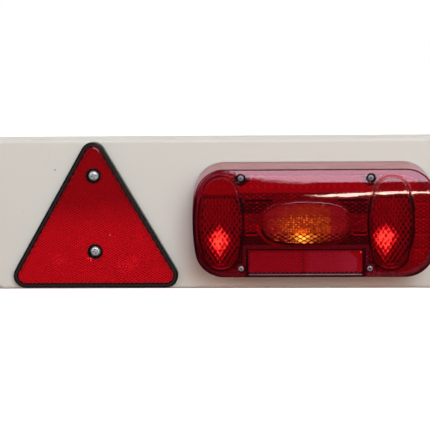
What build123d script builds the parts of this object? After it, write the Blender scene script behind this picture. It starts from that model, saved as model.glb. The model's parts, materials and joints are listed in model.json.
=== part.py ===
from build123d import *
import math
import os

os.makedirs("parts", exist_ok=True)

# A trailer lighting board: a white plastic channel that carries a rear lamp and a red triangular
# reflector at each end. X runs along the board, the front faces -Y and Z is up. The origin is the
# centre of the plane that the rear lips lie in. Millimetres.

# Board: one extruded channel, open at the back between two lips
BOARD_LENGTH = 1370.0
BOARD_HEIGHT = 140.0
BOARD_DEPTH = 28.0
BOARD_WALL = 3.0
BOARD_FRONT_RADIUS = 4.0
BOARD_REAR_RADIUS = 1.5
LIP_HEIGHT = 18.0

# Fixing holes in the rear lips
FIXING_HOLE_DIAMETER = 9.0
FIXING_SPACING_X = 400.0
FIXING_EDGE_DISTANCE = 10.0

# Where the lamp and the reflector sit on the face
LAMP_END_MARGIN = 15.0
LAMP_Z = -2.0
TRIANGLE_GAP = 5.0
TRIANGLE_BASE_MARGIN = 3.0

# Lamp outline at the board: a rectangle with large corners and bowed ends
LAMP_WIDTH = 220.0
LAMP_HEIGHT = 101.0
LAMP_CORNER_RADIUS = 28.0
LAMP_END_RADIUS = 162.0
LAMP_DEPTH = 46.0
LENS_DRAFT = 3.0
LENS_WALL = 2.5
LENS_EDGE_RADIUS = 2.0
CROWN_RADIUS = 220.0

# Two upright lobes stand in from the lamp's edges, with an oval window between them
LOBE_INBOARD_MARGIN = 6.4
LOBE_OUTBOARD_MARGIN = 22.4
LOBE_TOP_MARGIN = 7.0
LOBE_FOOT_MARGIN = 10.0
LOBE_WIDTH = 41.2
LOBE_END_RADIUS = 16.0
LOBE_PROUD = 2.6
LOBE_EDGE_RADIUS = 2.2
WINDOW_GAP = 13.2
WINDOW_WIDTH = 42.0
WINDOW_END_RADIUS = 18.5
WINDOW_PROUD = 2.0
WINDOW_EDGE_RADIUS = 1.6
WINDOW_FOOT_GAP = 2.3
WINDOW_CLEARANCE = 0.15

# Reflex panel let into the foot of the lens, under the window
PANEL_GAP = 3.4
PANEL_FOOT_MARGIN = 3.9
PANEL_HEIGHT = 24.0
PANEL_THICKNESS = 2.5
PANEL_CORNER_RADIUS = 1.5
PANEL_CLEARANCE = 0.2
PANEL_RECESS = 0.8
PANEL_SEAT = 2.0

# Horizontal ribs inside the outboard end of the lens
RIB_COUNT = 4
RIB_PITCH = 13.8
RIB_THICKNESS = 1.4
RIB_LENGTH = 24.0
RIB_DEPTH = 4.0
RIB_DROP = 3.0

# Lens screws and the pillars that take them
SCREW_LOBE_OFFSET = 17.8
SCREW_EDGE_DISTANCE = 9.9
SCREW_HEAD_DIAMETER = 5.4
SCREW_HEAD_HEIGHT = 2.0
SCREW_SHANK_DIAMETER = 3.0
SCREW_SHANK_LENGTH = 14.0
SCREW_CLEARANCE = 0.3
HEAD_DOME_SHARE = 0.88
RECESS_LENGTH_SHARE = 0.5
RECESS_WIDTH_SHARE = 0.14
RECESS_DEPTH_SHARE = 0.6
RECESS_TURN = 15.0
COUNTERBORE_DIAMETER = 8.6
COUNTERBORE_DEPTH = 4.0
COUNTERBORE_WALL = 2.0
PILLAR_DIAMETER = 8.0

# Lamp base, its gasket and what passes through both
GASKET_THICKNESS = 1.5
FLANGE_THICKNESS = 2.0
BASE_FLOOR = 3.0
BASE_WALL = 2.0
BASE_UPSTAND = 7.0
SEAL_CLEARANCE = 0.3
BOLT_DIAMETER = 5.0
BOLT_HEAD_DIAMETER = 9.5
BOLT_HEAD_HEIGHT = 3.4
BOLT_HOLE_CLEARANCE = 0.5
BOLT_TAIL = 3.0
WASHER_DIAMETER = 10.0
WASHER_THICKNESS = 1.0
NUT_ACROSS_FLATS = 8.0
NUT_HEIGHT = 4.0
CABLE_HOLE_DIAMETER = 12.0
CABLE_BORE_DIAMETER = 7.0
CABLE_EDGE_DISTANCE = 14.5
GROMMET_LIP = 2.5
GROMMET_LIP_THICKNESS = 2.0
GROMMET_CLEARANCE = 0.1

# Bright reflector with three bowls
REFLECTOR_WALL = 1.5
REFLECTOR_RIM = 27.0
REFLECTOR_GAP = 1.0
BOWL_INSET = 1.0
BOWL_FLOOR_INSET = 9.0
BOWL_WAIST_INSET = 5.0
BOWL_WAIST_SHARE = 0.35

# Bulbs lie along their bowls, each in a holder that stands on the base
BULB_AXIS_HEIGHT = 20.5
BULB_DIAMETER = 24.0
BULB_NECK_DIAMETER = 14.0
BULB_OFFSET = 9.0
CAP_DIAMETER = 15.0
CAP_LENGTH = 18.0
CAP_CONTACT = 1.5
HOLDER_WALL = 1.6
HOLDER_LENGTH = 15.0
HOLDER_CLEARANCE = 0.2
HOLDER_SLOT_CLEARANCE = 0.5

# Triangular reflector: a black dish with a red lens in it
TRIANGLE_SIDE = 169.0
TRIANGLE_CORNER_RADIUS = 11.5
TRIANGLE_DEPTH = 8.0
TRIANGLE_BACK = 2.0
TRIANGLE_RIM = 3.7
TRIANGLE_RIM_RADIUS = 1.4
TRIANGLE_LENS_CLEARANCE = 0.2
TRIANGLE_LENS_THICKNESS = 3.8
TRIANGLE_BORDER = 1.8
TRIANGLE_BORDER_HEIGHT = 1.0
TRIANGLE_SCREW_SPACING = 70.0
TRIANGLE_SCREW_RISE = 20.3
CUP_DIAMETER = 13.8
CUP_WALL = 1.7
CUP_HEIGHT = 5.0
CUP_FLOOR = 1.0
CUP_CLEARANCE = 0.2
TRIANGLE_HEAD_DIAMETER = 9.4
TRIANGLE_HEAD_HEIGHT = 3.2

# Places worked out from the sizes above
FACE_Y = -BOARD_DEPTH
LAMP_X = BOARD_LENGTH / 2 - LAMP_END_MARGIN - LAMP_WIDTH / 2
TRIANGLE_X = LAMP_X - LAMP_WIDTH / 2 - TRIANGLE_GAP - TRIANGLE_SIDE / 2
TRIANGLE_INRADIUS = TRIANGLE_SIDE / (2 * math.sqrt(3))
TRIANGLE_Z = TRIANGLE_BASE_MARGIN - BOARD_HEIGHT / 2 + TRIANGLE_INRADIUS
FIXING_SPACING_Z = BOARD_HEIGHT - 2 * FIXING_EDGE_DISTANCE

OPTIC_SHIFT = (LOBE_OUTBOARD_MARGIN - LOBE_INBOARD_MARGIN) / 2
LOBE_SPACING = (LAMP_WIDTH - LOBE_INBOARD_MARGIN - LOBE_OUTBOARD_MARGIN - LOBE_WIDTH) / 2
LOBE_LENGTH = LAMP_HEIGHT - LOBE_TOP_MARGIN - LOBE_FOOT_MARGIN
LOBE_RAISE = (LOBE_FOOT_MARGIN - LOBE_TOP_MARGIN) / 2
LOBE_INNER = LOBE_SPACING - LOBE_WIDTH / 2
WINDOW_LENGTH = 2 * (LOBE_INNER - WINDOW_GAP)
PANEL_LENGTH = 2 * (LOBE_INNER - PANEL_GAP)
PANEL_DROP = LAMP_HEIGHT / 2 - PANEL_FOOT_MARGIN - PANEL_HEIGHT / 2
WINDOW_RAISE = PANEL_HEIGHT / 2 - PANEL_DROP + WINDOW_FOOT_GAP + WINDOW_WIDTH / 2
SCREW_SPACING_X = 2 * (LOBE_SPACING - SCREW_LOBE_OFFSET)
SCREW_SPACING_Z = LAMP_HEIGHT - 2 * SCREW_EDGE_DISTANCE
BOLT_SPACING = 2 * LOBE_INNER - WINDOW_GAP
CABLE_HOLE_RISE = LAMP_HEIGHT / 2 - CABLE_EDGE_DISTANCE

FLANGE_TOP = GASKET_THICKNESS + FLANGE_THICKNESS
FLOOR_TOP = GASKET_THICKNESS + BASE_FLOOR
CROWN_CENTRE = LAMP_DEPTH - CROWN_RADIUS
REACH = 2 * LAMP_DEPTH

SCREW_POINTS = [
    (-OPTIC_SHIFT + i * SCREW_SPACING_X / 2, j * SCREW_SPACING_Z / 2) for i in (-1, 1) for j in (-1, 1)
]
BOLT_POINTS = [(-OPTIC_SHIFT + i * BOLT_SPACING / 2, 0) for i in (-1, 1)]
CABLE_POINT = (-OPTIC_SHIFT, CABLE_HOLE_RISE)
TRIANGLE_SCREW_POINTS = [
    (0, TRIANGLE_SCREW_RISE + i * TRIANGLE_SCREW_SPACING / 2) for i in (-1, 1)
]


def crown_height(v, proud=0.0):
    """Height of the crowned front above the board's face, at a height v on the lamp."""
    return CROWN_CENTRE + math.sqrt((CROWN_RADIUS + proud) ** 2 - v**2)


SCREW_SEAT = crown_height(SCREW_SPACING_Z / 2) - COUNTERBORE_DEPTH
PILLAR_TOP = SCREW_SEAT - COUNTERBORE_WALL
PANEL_FACE = crown_height(PANEL_DROP + PANEL_HEIGHT / 2) - PANEL_RECESS
PANEL_BACK = PANEL_FACE - PANEL_THICKNESS

# Planes that look out of the board's face: x along the board, y up, z out of the face
face_plane = Plane(origin=(0, FACE_Y, 0), x_dir=(1, 0, 0), z_dir=(0, -1, 0))
lamp_plane = Plane(origin=(LAMP_X, FACE_Y, LAMP_Z), x_dir=(1, 0, 0), z_dir=(0, -1, 0))
triangle_plane = Plane(origin=(TRIANGLE_X, FACE_Y, TRIANGLE_Z), x_dir=(1, 0, 0), z_dir=(0, -1, 0))
rear_plane = Plane(origin=(0, 0, 0), x_dir=(1, 0, 0), z_dir=(0, 1, 0))
# Across the lamp's end: x up, y out of the face
crown_plane = Plane(origin=(LAMP_X - LAMP_WIDTH, FACE_Y, LAMP_Z), x_dir=(0, 0, 1), z_dir=(1, 0, 0))


def optic_plane(shift, upright):
    """Plane of one bowl, with x along its bulb towards the holder and z out of the board's face."""
    rise = LOBE_RAISE if upright else WINDOW_RAISE
    along = (0, 0, 1) if upright else (1, 0, 0)
    centre = (LAMP_X - OPTIC_SHIFT + shift, FACE_Y, LAMP_Z + rise)
    return Plane(origin=centre, x_dir=along, z_dir=(0, -1, 0))


tail_plane = optic_plane(-LOBE_SPACING, True)
indicator_plane = optic_plane(0.0, False)
fog_plane = optic_plane(LOBE_SPACING, True)
BOWLS = [
    (tail_plane, LOBE_LENGTH, LOBE_WIDTH, LOBE_END_RADIUS),
    (indicator_plane, WINDOW_LENGTH, WINDOW_WIDTH, WINDOW_END_RADIUS),
    (fog_plane, LOBE_LENGTH, LOBE_WIDTH, LOBE_END_RADIUS),
]


def write_pair(part, name):
    """Write the right-hand piece, and its mirror image at the left-hand end."""
    part.label = name + "_right"
    export_step(part, f"parts/{name}_right.step")
    twin = mirror(part, about=Plane.YZ, mode=Mode.PRIVATE)
    twin.label = name + "_left"
    export_step(twin, f"parts/{name}_left.step")


def lamp_outline(inset=0.0):
    """The lamp's outline: straight top and foot, round corners, and ends that bow outwards."""
    width = LAMP_WIDTH / 2 - inset
    height = LAMP_HEIGHT / 2 - inset
    corner = LAMP_CORNER_RADIUS - inset
    bow = LAMP_END_RADIUS - inset
    rise = height - corner
    run = math.sqrt((bow - corner) ** 2 - rise**2)
    corner_x = width - bow + run
    bow_angle = math.degrees(math.atan2(rise, run))
    with BuildSketch() as outline:
        with BuildLine():
            CenterArc((width - bow, 0), bow, -bow_angle, 2 * bow_angle)
            CenterArc((corner_x, rise), corner, bow_angle, 90 - bow_angle)
            Line((corner_x, height), (-corner_x, height))
            CenterArc((-corner_x, rise), corner, 90, 90 - bow_angle)
            CenterArc((bow - width, 0), bow, 180 - bow_angle, 2 * bow_angle)
            CenterArc((-corner_x, -rise), corner, 180 + bow_angle, 90 - bow_angle)
            Line((-corner_x, -height), (corner_x, -height))
            CenterArc((corner_x, -rise), corner, 270, 90 - bow_angle)
        make_face()
    return outline.sketch


def oval(length, width, end_radius, inset=0.0):
    """An oval of four tangent arcs, with its length along x."""
    long = length / 2 - inset
    short = width / 2 - inset
    end = end_radius - inset
    run = long - end
    flank = (run**2 + short**2 - end**2) / (2 * (short - end))
    angle = math.degrees(math.atan2(run, flank - short))
    with BuildSketch() as outline:
        with BuildLine():
            CenterArc((run, 0), end, angle - 90, 180 - 2 * angle)
            CenterArc((0, short - flank), flank, 90 - angle, 2 * angle)
            CenterArc((-run, 0), end, 90 + angle, 180 - 2 * angle)
            CenterArc((0, flank - short), flank, 270 - angle, 2 * angle)
        make_face()
    return outline.sketch


def triangle_outline(inset=0.0):
    """The reflector's outline, point up, about the middle of its sharp triangle."""
    with BuildSketch() as outline:
        RegularPolygon(2 * (TRIANGLE_INRADIUS - inset), 3, rotation=90)
        fillet(outline.vertices(), TRIANGLE_CORNER_RADIUS - inset)
    return outline.sketch


def crowned(outline, plane, start, proud=0.0, taper=0.0):
    """A prism from a height above the board's face to the lamp's crowned front, or proud of it."""
    with BuildPart() as prism:
        with BuildSketch(plane.offset(start)):
            add(outline)
        extrude(amount=REACH - start, taper=taper)
        with BuildSketch(crown_plane):
            with Locations((0, CROWN_CENTRE)):
                Circle(CROWN_RADIUS + proud)
        extrude(amount=2 * LAMP_WIDTH, mode=Mode.INTERSECT)
    return prism.part


def rounded_front(part, radius):
    """The same prism with the edge of its crowned front rounded."""
    with BuildPart() as rounded:
        add(part)
        fillet(rounded.faces().sort_by(Axis.Y)[0].edges(), radius)
    return rounded.part


# Board: channel section along X, drilled for the lamps, the reflectors and its own fixings
with BuildPart() as board:
    with BuildSketch(Plane.YZ) as section:
        with Locations((FACE_Y / 2, 0)):
            Rectangle(BOARD_DEPTH, BOARD_HEIGHT)
        fillet(section.vertices().group_by(Axis.X)[0], BOARD_FRONT_RADIUS)
        fillet(section.vertices().group_by(Axis.X)[-1], BOARD_REAR_RADIUS)
        with Locations((FACE_Y / 2, 0)):
            RectangleRounded(
                BOARD_DEPTH - 2 * BOARD_WALL,
                BOARD_HEIGHT - 2 * BOARD_WALL,
                BOARD_FRONT_RADIUS / 2,
                mode=Mode.SUBTRACT,
            )
        Rectangle(BOARD_DEPTH, BOARD_HEIGHT - 2 * LIP_HEIGHT, mode=Mode.SUBTRACT)
    extrude(amount=BOARD_LENGTH / 2, both=True)
    with BuildSketch(face_plane):
        for side in (-1, 1):
            for x, z in BOLT_POINTS:
                with Locations((side * (LAMP_X + x), LAMP_Z + z)):
                    Circle((BOLT_DIAMETER + BOLT_HOLE_CLEARANCE) / 2)
            with Locations((side * (LAMP_X + CABLE_POINT[0]), LAMP_Z + CABLE_POINT[1])):
                Circle(CABLE_HOLE_DIAMETER / 2)
            for x, z in TRIANGLE_SCREW_POINTS:
                with Locations((side * (TRIANGLE_X + x), TRIANGLE_Z + z)):
                    Circle((BOLT_DIAMETER + BOLT_HOLE_CLEARANCE) / 2)
    extrude(amount=-1.5 * BOARD_WALL, mode=Mode.SUBTRACT)
    with BuildSketch(rear_plane):
        with GridLocations(FIXING_SPACING_X, FIXING_SPACING_Z, 2, 2):
            Circle(FIXING_HOLE_DIAMETER / 2)
    extrude(amount=-1.5 * BOARD_WALL, mode=Mode.SUBTRACT)
board.part.label = "board"
export_step(board.part, "parts/board.step")

# Gasket: rubber sheet between the lamp and the board
with BuildPart() as lamp_gasket:
    with BuildSketch(lamp_plane):
        add(lamp_outline(SEAL_CLEARANCE))
        with Locations(*BOLT_POINTS):
            Circle((BOLT_DIAMETER + BOLT_HOLE_CLEARANCE) / 2, mode=Mode.SUBTRACT)
        with Locations(CABLE_POINT):
            Circle(CABLE_HOLE_DIAMETER / 2, mode=Mode.SUBTRACT)
    extrude(amount=GASKET_THICKNESS)
write_pair(lamp_gasket.part, "lamp_gasket")

# Lamp base: flange, floor, upstand inside the lens, and four pillars for the lens screws
with BuildPart() as lamp_base:
    with BuildSketch(lamp_plane.offset(GASKET_THICKNESS)):
        add(lamp_outline())
    extrude(amount=FLANGE_THICKNESS)
    with BuildSketch(lamp_plane.offset(FLANGE_TOP)):
        add(lamp_outline(LENS_WALL + SEAL_CLEARANCE))
    extrude(amount=BASE_UPSTAND, taper=LENS_DRAFT)
    with BuildSketch(lamp_plane.offset(FLOOR_TOP)):
        add(lamp_outline(LENS_WALL + SEAL_CLEARANCE + BASE_WALL))
    extrude(amount=BASE_UPSTAND, taper=LENS_DRAFT, mode=Mode.SUBTRACT)
    with BuildSketch(lamp_plane.offset(FLOOR_TOP)):
        with Locations(*SCREW_POINTS):
            Circle(PILLAR_DIAMETER / 2)
    extrude(amount=PILLAR_TOP - FLOOR_TOP)
    with BuildSketch(lamp_plane.offset(PILLAR_TOP)):
        with Locations(*SCREW_POINTS):
            Circle((SCREW_SHANK_DIAMETER + SCREW_CLEARANCE) / 2)
    extrude(amount=-SCREW_SHANK_LENGTH, mode=Mode.SUBTRACT)
    with BuildSketch(lamp_plane):
        with Locations(*BOLT_POINTS):
            Circle((BOLT_DIAMETER + BOLT_HOLE_CLEARANCE) / 2)
        with Locations(CABLE_POINT):
            Circle(CABLE_HOLE_DIAMETER / 2)
    extrude(amount=FLOOR_TOP, mode=Mode.SUBTRACT)
write_pair(lamp_base.part, "lamp_base")

# Lens: a deep cap with a crowned front, two raised lobes, an oval opening and a panel recess
LOBE_PLANES = (tail_plane, fog_plane)
lobe_face = oval(LOBE_LENGTH, LOBE_WIDTH, LOBE_END_RADIUS)
lobe_hollow = oval(LOBE_LENGTH, LOBE_WIDTH, LOBE_END_RADIUS, LENS_WALL)
panel_centre = (-OPTIC_SHIFT, -PANEL_DROP)

with BuildPart() as lens_cavity:
    add(crowned(lamp_outline(LENS_WALL), lamp_plane, FLANGE_TOP, -LENS_WALL, LENS_DRAFT))
    for plane in LOBE_PLANES:
        add(crowned(lobe_hollow, plane, PILLAR_TOP, LOBE_PROUD - LENS_WALL))
    with BuildSketch(lamp_plane.offset(PILLAR_TOP)):
        with Locations(*SCREW_POINTS):
            Circle(COUNTERBORE_DIAMETER / 2 + COUNTERBORE_WALL)
    extrude(amount=REACH, mode=Mode.SUBTRACT)
    with BuildSketch(lamp_plane.offset(PANEL_BACK - PANEL_SEAT)):
        with Locations(panel_centre):
            Rectangle(PANEL_LENGTH + 2 * PANEL_SEAT, PANEL_HEIGHT + 2 * PANEL_SEAT)
    extrude(amount=REACH, mode=Mode.SUBTRACT)
    with BuildSketch(lamp_plane.offset(LAMP_DEPTH - LENS_WALL - RIB_DEPTH)):
        with Locations(((LAMP_WIDTH - RIB_LENGTH) / 2, -RIB_DROP)):
            with GridLocations(0, RIB_PITCH, 1, RIB_COUNT):
                Rectangle(RIB_LENGTH, RIB_THICKNESS)
    extrude(amount=REACH, mode=Mode.SUBTRACT)

with BuildPart() as lamp_lens:
    lens_body = crowned(lamp_outline(), lamp_plane, FLANGE_TOP, 0.0, LENS_DRAFT)
    add(rounded_front(lens_body, LENS_EDGE_RADIUS))
    for plane in LOBE_PLANES:
        lobe = crowned(lobe_face, plane, PILLAR_TOP, LOBE_PROUD)
        add(rounded_front(lobe, LOBE_EDGE_RADIUS))
    add(lens_cavity.part, mode=Mode.SUBTRACT)
    with BuildSketch(indicator_plane.offset(PILLAR_TOP)):
        add(oval(WINDOW_LENGTH, WINDOW_WIDTH, WINDOW_END_RADIUS))
    extrude(amount=REACH, mode=Mode.SUBTRACT)
    with BuildSketch(lamp_plane.offset(PANEL_BACK)):
        with Locations(panel_centre):
            RectangleRounded(PANEL_LENGTH, PANEL_HEIGHT, PANEL_CORNER_RADIUS)
    extrude(amount=REACH, mode=Mode.SUBTRACT)
    with BuildSketch(lamp_plane.offset(SCREW_SEAT)):
        with Locations(*SCREW_POINTS):
            Circle(COUNTERBORE_DIAMETER / 2)
    extrude(amount=REACH, mode=Mode.SUBTRACT)
    with BuildSketch(lamp_plane.offset(PILLAR_TOP)):
        with Locations(*SCREW_POINTS):
            Circle(SCREW_SHANK_DIAMETER / 2 + SCREW_CLEARANCE)
    extrude(amount=COUNTERBORE_DEPTH, mode=Mode.SUBTRACT)
write_pair(lamp_lens.part, "lamp_lens")

# Indicator window: a thin amber dome with a deeper edge, bonded into the lens's oval opening
window_face = oval(WINDOW_LENGTH, WINDOW_WIDTH, WINDOW_END_RADIUS, WINDOW_CLEARANCE)
window_hollow = oval(WINDOW_LENGTH, WINDOW_WIDTH, WINDOW_END_RADIUS, WINDOW_CLEARANCE + LENS_WALL)
with BuildPart() as indicator_window:
    window_body = crowned(window_face, indicator_plane, PILLAR_TOP, WINDOW_PROUD)
    add(rounded_front(window_body, WINDOW_EDGE_RADIUS))
    add(crowned(window_hollow, indicator_plane, PILLAR_TOP, WINDOW_PROUD - LENS_WALL), mode=Mode.SUBTRACT)
    with BuildSketch(crown_plane):
        with Locations((0, CROWN_CENTRE)):
            Circle(CROWN_RADIUS - LENS_WALL)
    extrude(amount=2 * LAMP_WIDTH, mode=Mode.SUBTRACT)
write_pair(indicator_window.part, "indicator_window")

# Reflex panel: a flat prism plate in the recess at the lens's foot
with BuildPart() as reflex_panel:
    with BuildSketch(lamp_plane.offset(PANEL_BACK)):
        with Locations(panel_centre):
            RectangleRounded(
                PANEL_LENGTH - 2 * PANEL_CLEARANCE,
                PANEL_HEIGHT - 2 * PANEL_CLEARANCE,
                PANEL_CORNER_RADIUS - PANEL_CLEARANCE,
            )
    extrude(amount=PANEL_THICKNESS)
write_pair(reflex_panel.part, "reflex_panel")

# Reflector: a plate with three bowls that stand on the base, slotted for the bulb holders
RIM_INSET = LENS_WALL + REFLECTOR_GAP + (REFLECTOR_RIM - FLANGE_TOP) * math.tan(math.radians(LENS_DRAFT))
HOLDER_RADIUS = CAP_DIAMETER / 2 + HOLDER_CLEARANCE + HOLDER_WALL
HOLDER_START = BULB_OFFSET + CAP_LENGTH - HOLDER_LENGTH


def bowl(sizes, plane, floor, wall):
    """A bowl that widens from its floor to the reflector's rim, as three ovals."""
    waist = floor + BOWL_WAIST_SHARE * (REFLECTOR_RIM - floor)
    with BuildPart() as cup:
        with BuildSketch(plane.offset(floor)):
            add(oval(*sizes, BOWL_INSET + BOWL_FLOOR_INSET - wall))
        with BuildSketch(plane.offset(waist)):
            add(oval(*sizes, BOWL_INSET + BOWL_WAIST_INSET - wall))
        with BuildSketch(plane.offset(REFLECTOR_RIM)):
            add(oval(*sizes, BOWL_INSET - wall))
        loft()
    return cup.part


with BuildPart() as lamp_reflector:
    with BuildSketch(lamp_plane.offset(REFLECTOR_RIM - REFLECTOR_WALL)):
        add(lamp_outline(RIM_INSET))
        with Locations(*SCREW_POINTS):
            Circle(PILLAR_DIAMETER / 2 + REFLECTOR_GAP, mode=Mode.SUBTRACT)
    extrude(amount=REFLECTOR_WALL)
    for plane, *sizes in BOWLS:
        add(bowl(sizes, plane, FLOOR_TOP, REFLECTOR_WALL))
    for plane, *sizes in BOWLS:
        add(bowl(sizes, plane, FLOOR_TOP + REFLECTOR_WALL, 0.0), mode=Mode.SUBTRACT)
        with BuildSketch(plane.offset(FLOOR_TOP)):
            with Locations((HOLDER_START + HOLDER_LENGTH / 2, 0)):
                Rectangle(
                    HOLDER_LENGTH + 2 * HOLDER_SLOT_CLEARANCE,
                    2 * HOLDER_RADIUS + 2 * HOLDER_SLOT_CLEARANCE,
                )
        extrude(amount=BULB_AXIS_HEIGHT - FLOOR_TOP, mode=Mode.SUBTRACT)
write_pair(lamp_reflector.part, "lamp_reflector")


def bulb_axis_plane(plane):
    """Plane along a bulb: x towards the holder, y out of the board's face."""
    axis_plane = plane.offset(BULB_AXIS_HEIGHT)
    return Plane(origin=axis_plane.origin, x_dir=axis_plane.x_dir, z_dir=-axis_plane.y_dir)


# Bulb glass: a globe with a neck that reaches the cap
for plane, name in ((tail_plane, "tail_bulb"), (indicator_plane, "indicator_bulb"), (fog_plane, "fog_bulb")):
    section_plane = bulb_axis_plane(plane)
    with BuildPart() as bulb_glass:
        with BuildSketch(section_plane):
            with Locations((BULB_OFFSET - BULB_DIAMETER / 2, 0)):
                Circle(BULB_DIAMETER / 2)
            with Locations((BULB_OFFSET - BULB_DIAMETER / 4, 0)):
                Rectangle(BULB_DIAMETER / 2, BULB_NECK_DIAMETER)
            with Locations((0, -BULB_DIAMETER)):
                Rectangle(4 * BULB_DIAMETER, 2 * BULB_DIAMETER, mode=Mode.SUBTRACT)
        revolve(axis=Axis(section_plane.origin, section_plane.x_dir))
    write_pair(bulb_glass.part, name)

# Bulb caps: brass cans with a raised contact at the end
with BuildPart() as bulb_caps:
    for plane, *sizes in BOWLS:
        section_plane = bulb_axis_plane(plane)
        with BuildSketch(section_plane):
            with Locations((BULB_OFFSET, 0)):
                Rectangle(CAP_LENGTH - CAP_CONTACT, CAP_DIAMETER / 2, align=(Align.MIN, Align.MIN))
                Rectangle(CAP_LENGTH, CAP_DIAMETER / 4, align=(Align.MIN, Align.MIN))
        revolve(axis=Axis(section_plane.origin, section_plane.x_dir))
write_pair(bulb_caps.part, "bulb_caps")

# Bulb holders: a sleeve round each cap, on a foot that stands on the base
with BuildPart() as bulb_holders:
    for plane, *sizes in BOWLS:
        end_plane = bulb_axis_plane(plane)
        sleeve_plane = Plane(
            origin=end_plane.from_local_coords(Vector(HOLDER_START, 0, 0)),
            x_dir=end_plane.z_dir,
            z_dir=end_plane.x_dir,
        )
        with BuildSketch(plane.offset(FLOOR_TOP)):
            with Locations((HOLDER_START + HOLDER_LENGTH / 2, 0)):
                Rectangle(HOLDER_LENGTH, 2 * HOLDER_RADIUS)
        extrude(amount=BULB_AXIS_HEIGHT - FLOOR_TOP)
        with BuildSketch(sleeve_plane):
            Circle(HOLDER_RADIUS)
        extrude(amount=HOLDER_LENGTH)
        with BuildSketch(sleeve_plane):
            Circle(CAP_DIAMETER / 2 + HOLDER_CLEARANCE)
        extrude(amount=HOLDER_LENGTH, mode=Mode.SUBTRACT)
write_pair(bulb_holders.part, "bulb_holders")


def pan_screws(plane, points, seat, head, shank):
    """A set of cross-slotted pan-head screws: heads on a height above the plane, shanks running into it."""
    head_diameter, head_height = head
    shank_diameter, shank_length = shank
    recess_length = RECESS_LENGTH_SHARE * head_diameter
    recess_width = RECESS_WIDTH_SHARE * head_diameter
    with BuildPart() as screws:
        with BuildSketch(plane.offset(seat)):
            with Locations(*points):
                Circle(head_diameter / 2)
        extrude(amount=head_height)
        tops = screws.faces().group_by(Axis.Y)[0]
        fillet(tops.edges(), HEAD_DOME_SHARE * head_height)
        with BuildSketch(plane.offset(seat + head_height)):
            with Locations(*points):
                Rectangle(recess_length, recess_width, rotation=RECESS_TURN)
                Rectangle(recess_width, recess_length, rotation=RECESS_TURN)
        extrude(amount=-RECESS_DEPTH_SHARE * head_height, mode=Mode.SUBTRACT)
        with BuildSketch(plane.offset(seat)):
            with Locations(*points):
                Circle(shank_diameter / 2)
        extrude(amount=-shank_length)
    return screws.part


def washers_and_nuts(plane, points, name):
    """Washers and hexagon nuts on the inside of the board's front wall."""
    with BuildPart() as washers:
        with BuildSketch(plane.offset(-BOARD_WALL)):
            with Locations(*points):
                Circle(WASHER_DIAMETER / 2)
                Circle((BOLT_DIAMETER + BOLT_HOLE_CLEARANCE) / 2, mode=Mode.SUBTRACT)
        extrude(amount=-WASHER_THICKNESS)
    write_pair(washers.part, name + "_washers")
    with BuildPart() as nuts:
        with BuildSketch(plane.offset(-BOARD_WALL - WASHER_THICKNESS)):
            with Locations(*points):
                RegularPolygon(NUT_ACROSS_FLATS / 2, 6, major_radius=False)
                Circle(BOLT_DIAMETER / 2, mode=Mode.SUBTRACT)
        extrude(amount=-NUT_HEIGHT)
    write_pair(nuts.part, name + "_nuts")


# Fasteners: lens screws into the pillars, lamp bolts and reflector screws through the board
BOLT_GRIP = BOARD_WALL + WASHER_THICKNESS + NUT_HEIGHT + BOLT_TAIL
lens_screws = pan_screws(
    lamp_plane,
    SCREW_POINTS,
    SCREW_SEAT,
    (SCREW_HEAD_DIAMETER, SCREW_HEAD_HEIGHT),
    (SCREW_SHANK_DIAMETER, SCREW_SHANK_LENGTH),
)
write_pair(lens_screws, "lens_screws")
lamp_bolts = pan_screws(
    lamp_plane,
    BOLT_POINTS,
    FLOOR_TOP,
    (BOLT_HEAD_DIAMETER, BOLT_HEAD_HEIGHT),
    (BOLT_DIAMETER, FLOOR_TOP + BOLT_GRIP),
)
write_pair(lamp_bolts, "lamp_bolts")
washers_and_nuts(lamp_plane, BOLT_POINTS, "lamp_bolt")

CUP_SEAT = TRIANGLE_BACK + CUP_FLOOR
triangle_screws = pan_screws(
    triangle_plane,
    TRIANGLE_SCREW_POINTS,
    CUP_SEAT,
    (TRIANGLE_HEAD_DIAMETER, TRIANGLE_HEAD_HEIGHT),
    (BOLT_DIAMETER, CUP_SEAT + BOLT_GRIP),
)
write_pair(triangle_screws, "triangle_screws")
washers_and_nuts(triangle_plane, TRIANGLE_SCREW_POINTS, "triangle_screw")

# Cable grommet: a rubber bush through the base, the gasket and the board
with BuildPart() as cable_grommet:
    with BuildSketch(lamp_plane.offset(-BOARD_WALL - GROMMET_LIP_THICKNESS)):
        with Locations(CABLE_POINT):
            Circle(CABLE_HOLE_DIAMETER / 2 + GROMMET_LIP)
    extrude(amount=GROMMET_LIP_THICKNESS)
    with BuildSketch(lamp_plane.offset(-BOARD_WALL)):
        with Locations(CABLE_POINT):
            Circle(CABLE_HOLE_DIAMETER / 2 - GROMMET_CLEARANCE)
    extrude(amount=BOARD_WALL + FLOOR_TOP)
    with BuildSketch(lamp_plane.offset(FLOOR_TOP)):
        with Locations(CABLE_POINT):
            Circle(CABLE_HOLE_DIAMETER / 2 + GROMMET_LIP)
    extrude(amount=GROMMET_LIP_THICKNESS)
    with BuildSketch(lamp_plane.offset(-BOARD_WALL - GROMMET_LIP_THICKNESS)):
        with Locations(CABLE_POINT):
            Circle(CABLE_BORE_DIAMETER / 2)
    extrude(amount=REACH, mode=Mode.SUBTRACT)
write_pair(cable_grommet.part, "cable_grommet")

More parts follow.
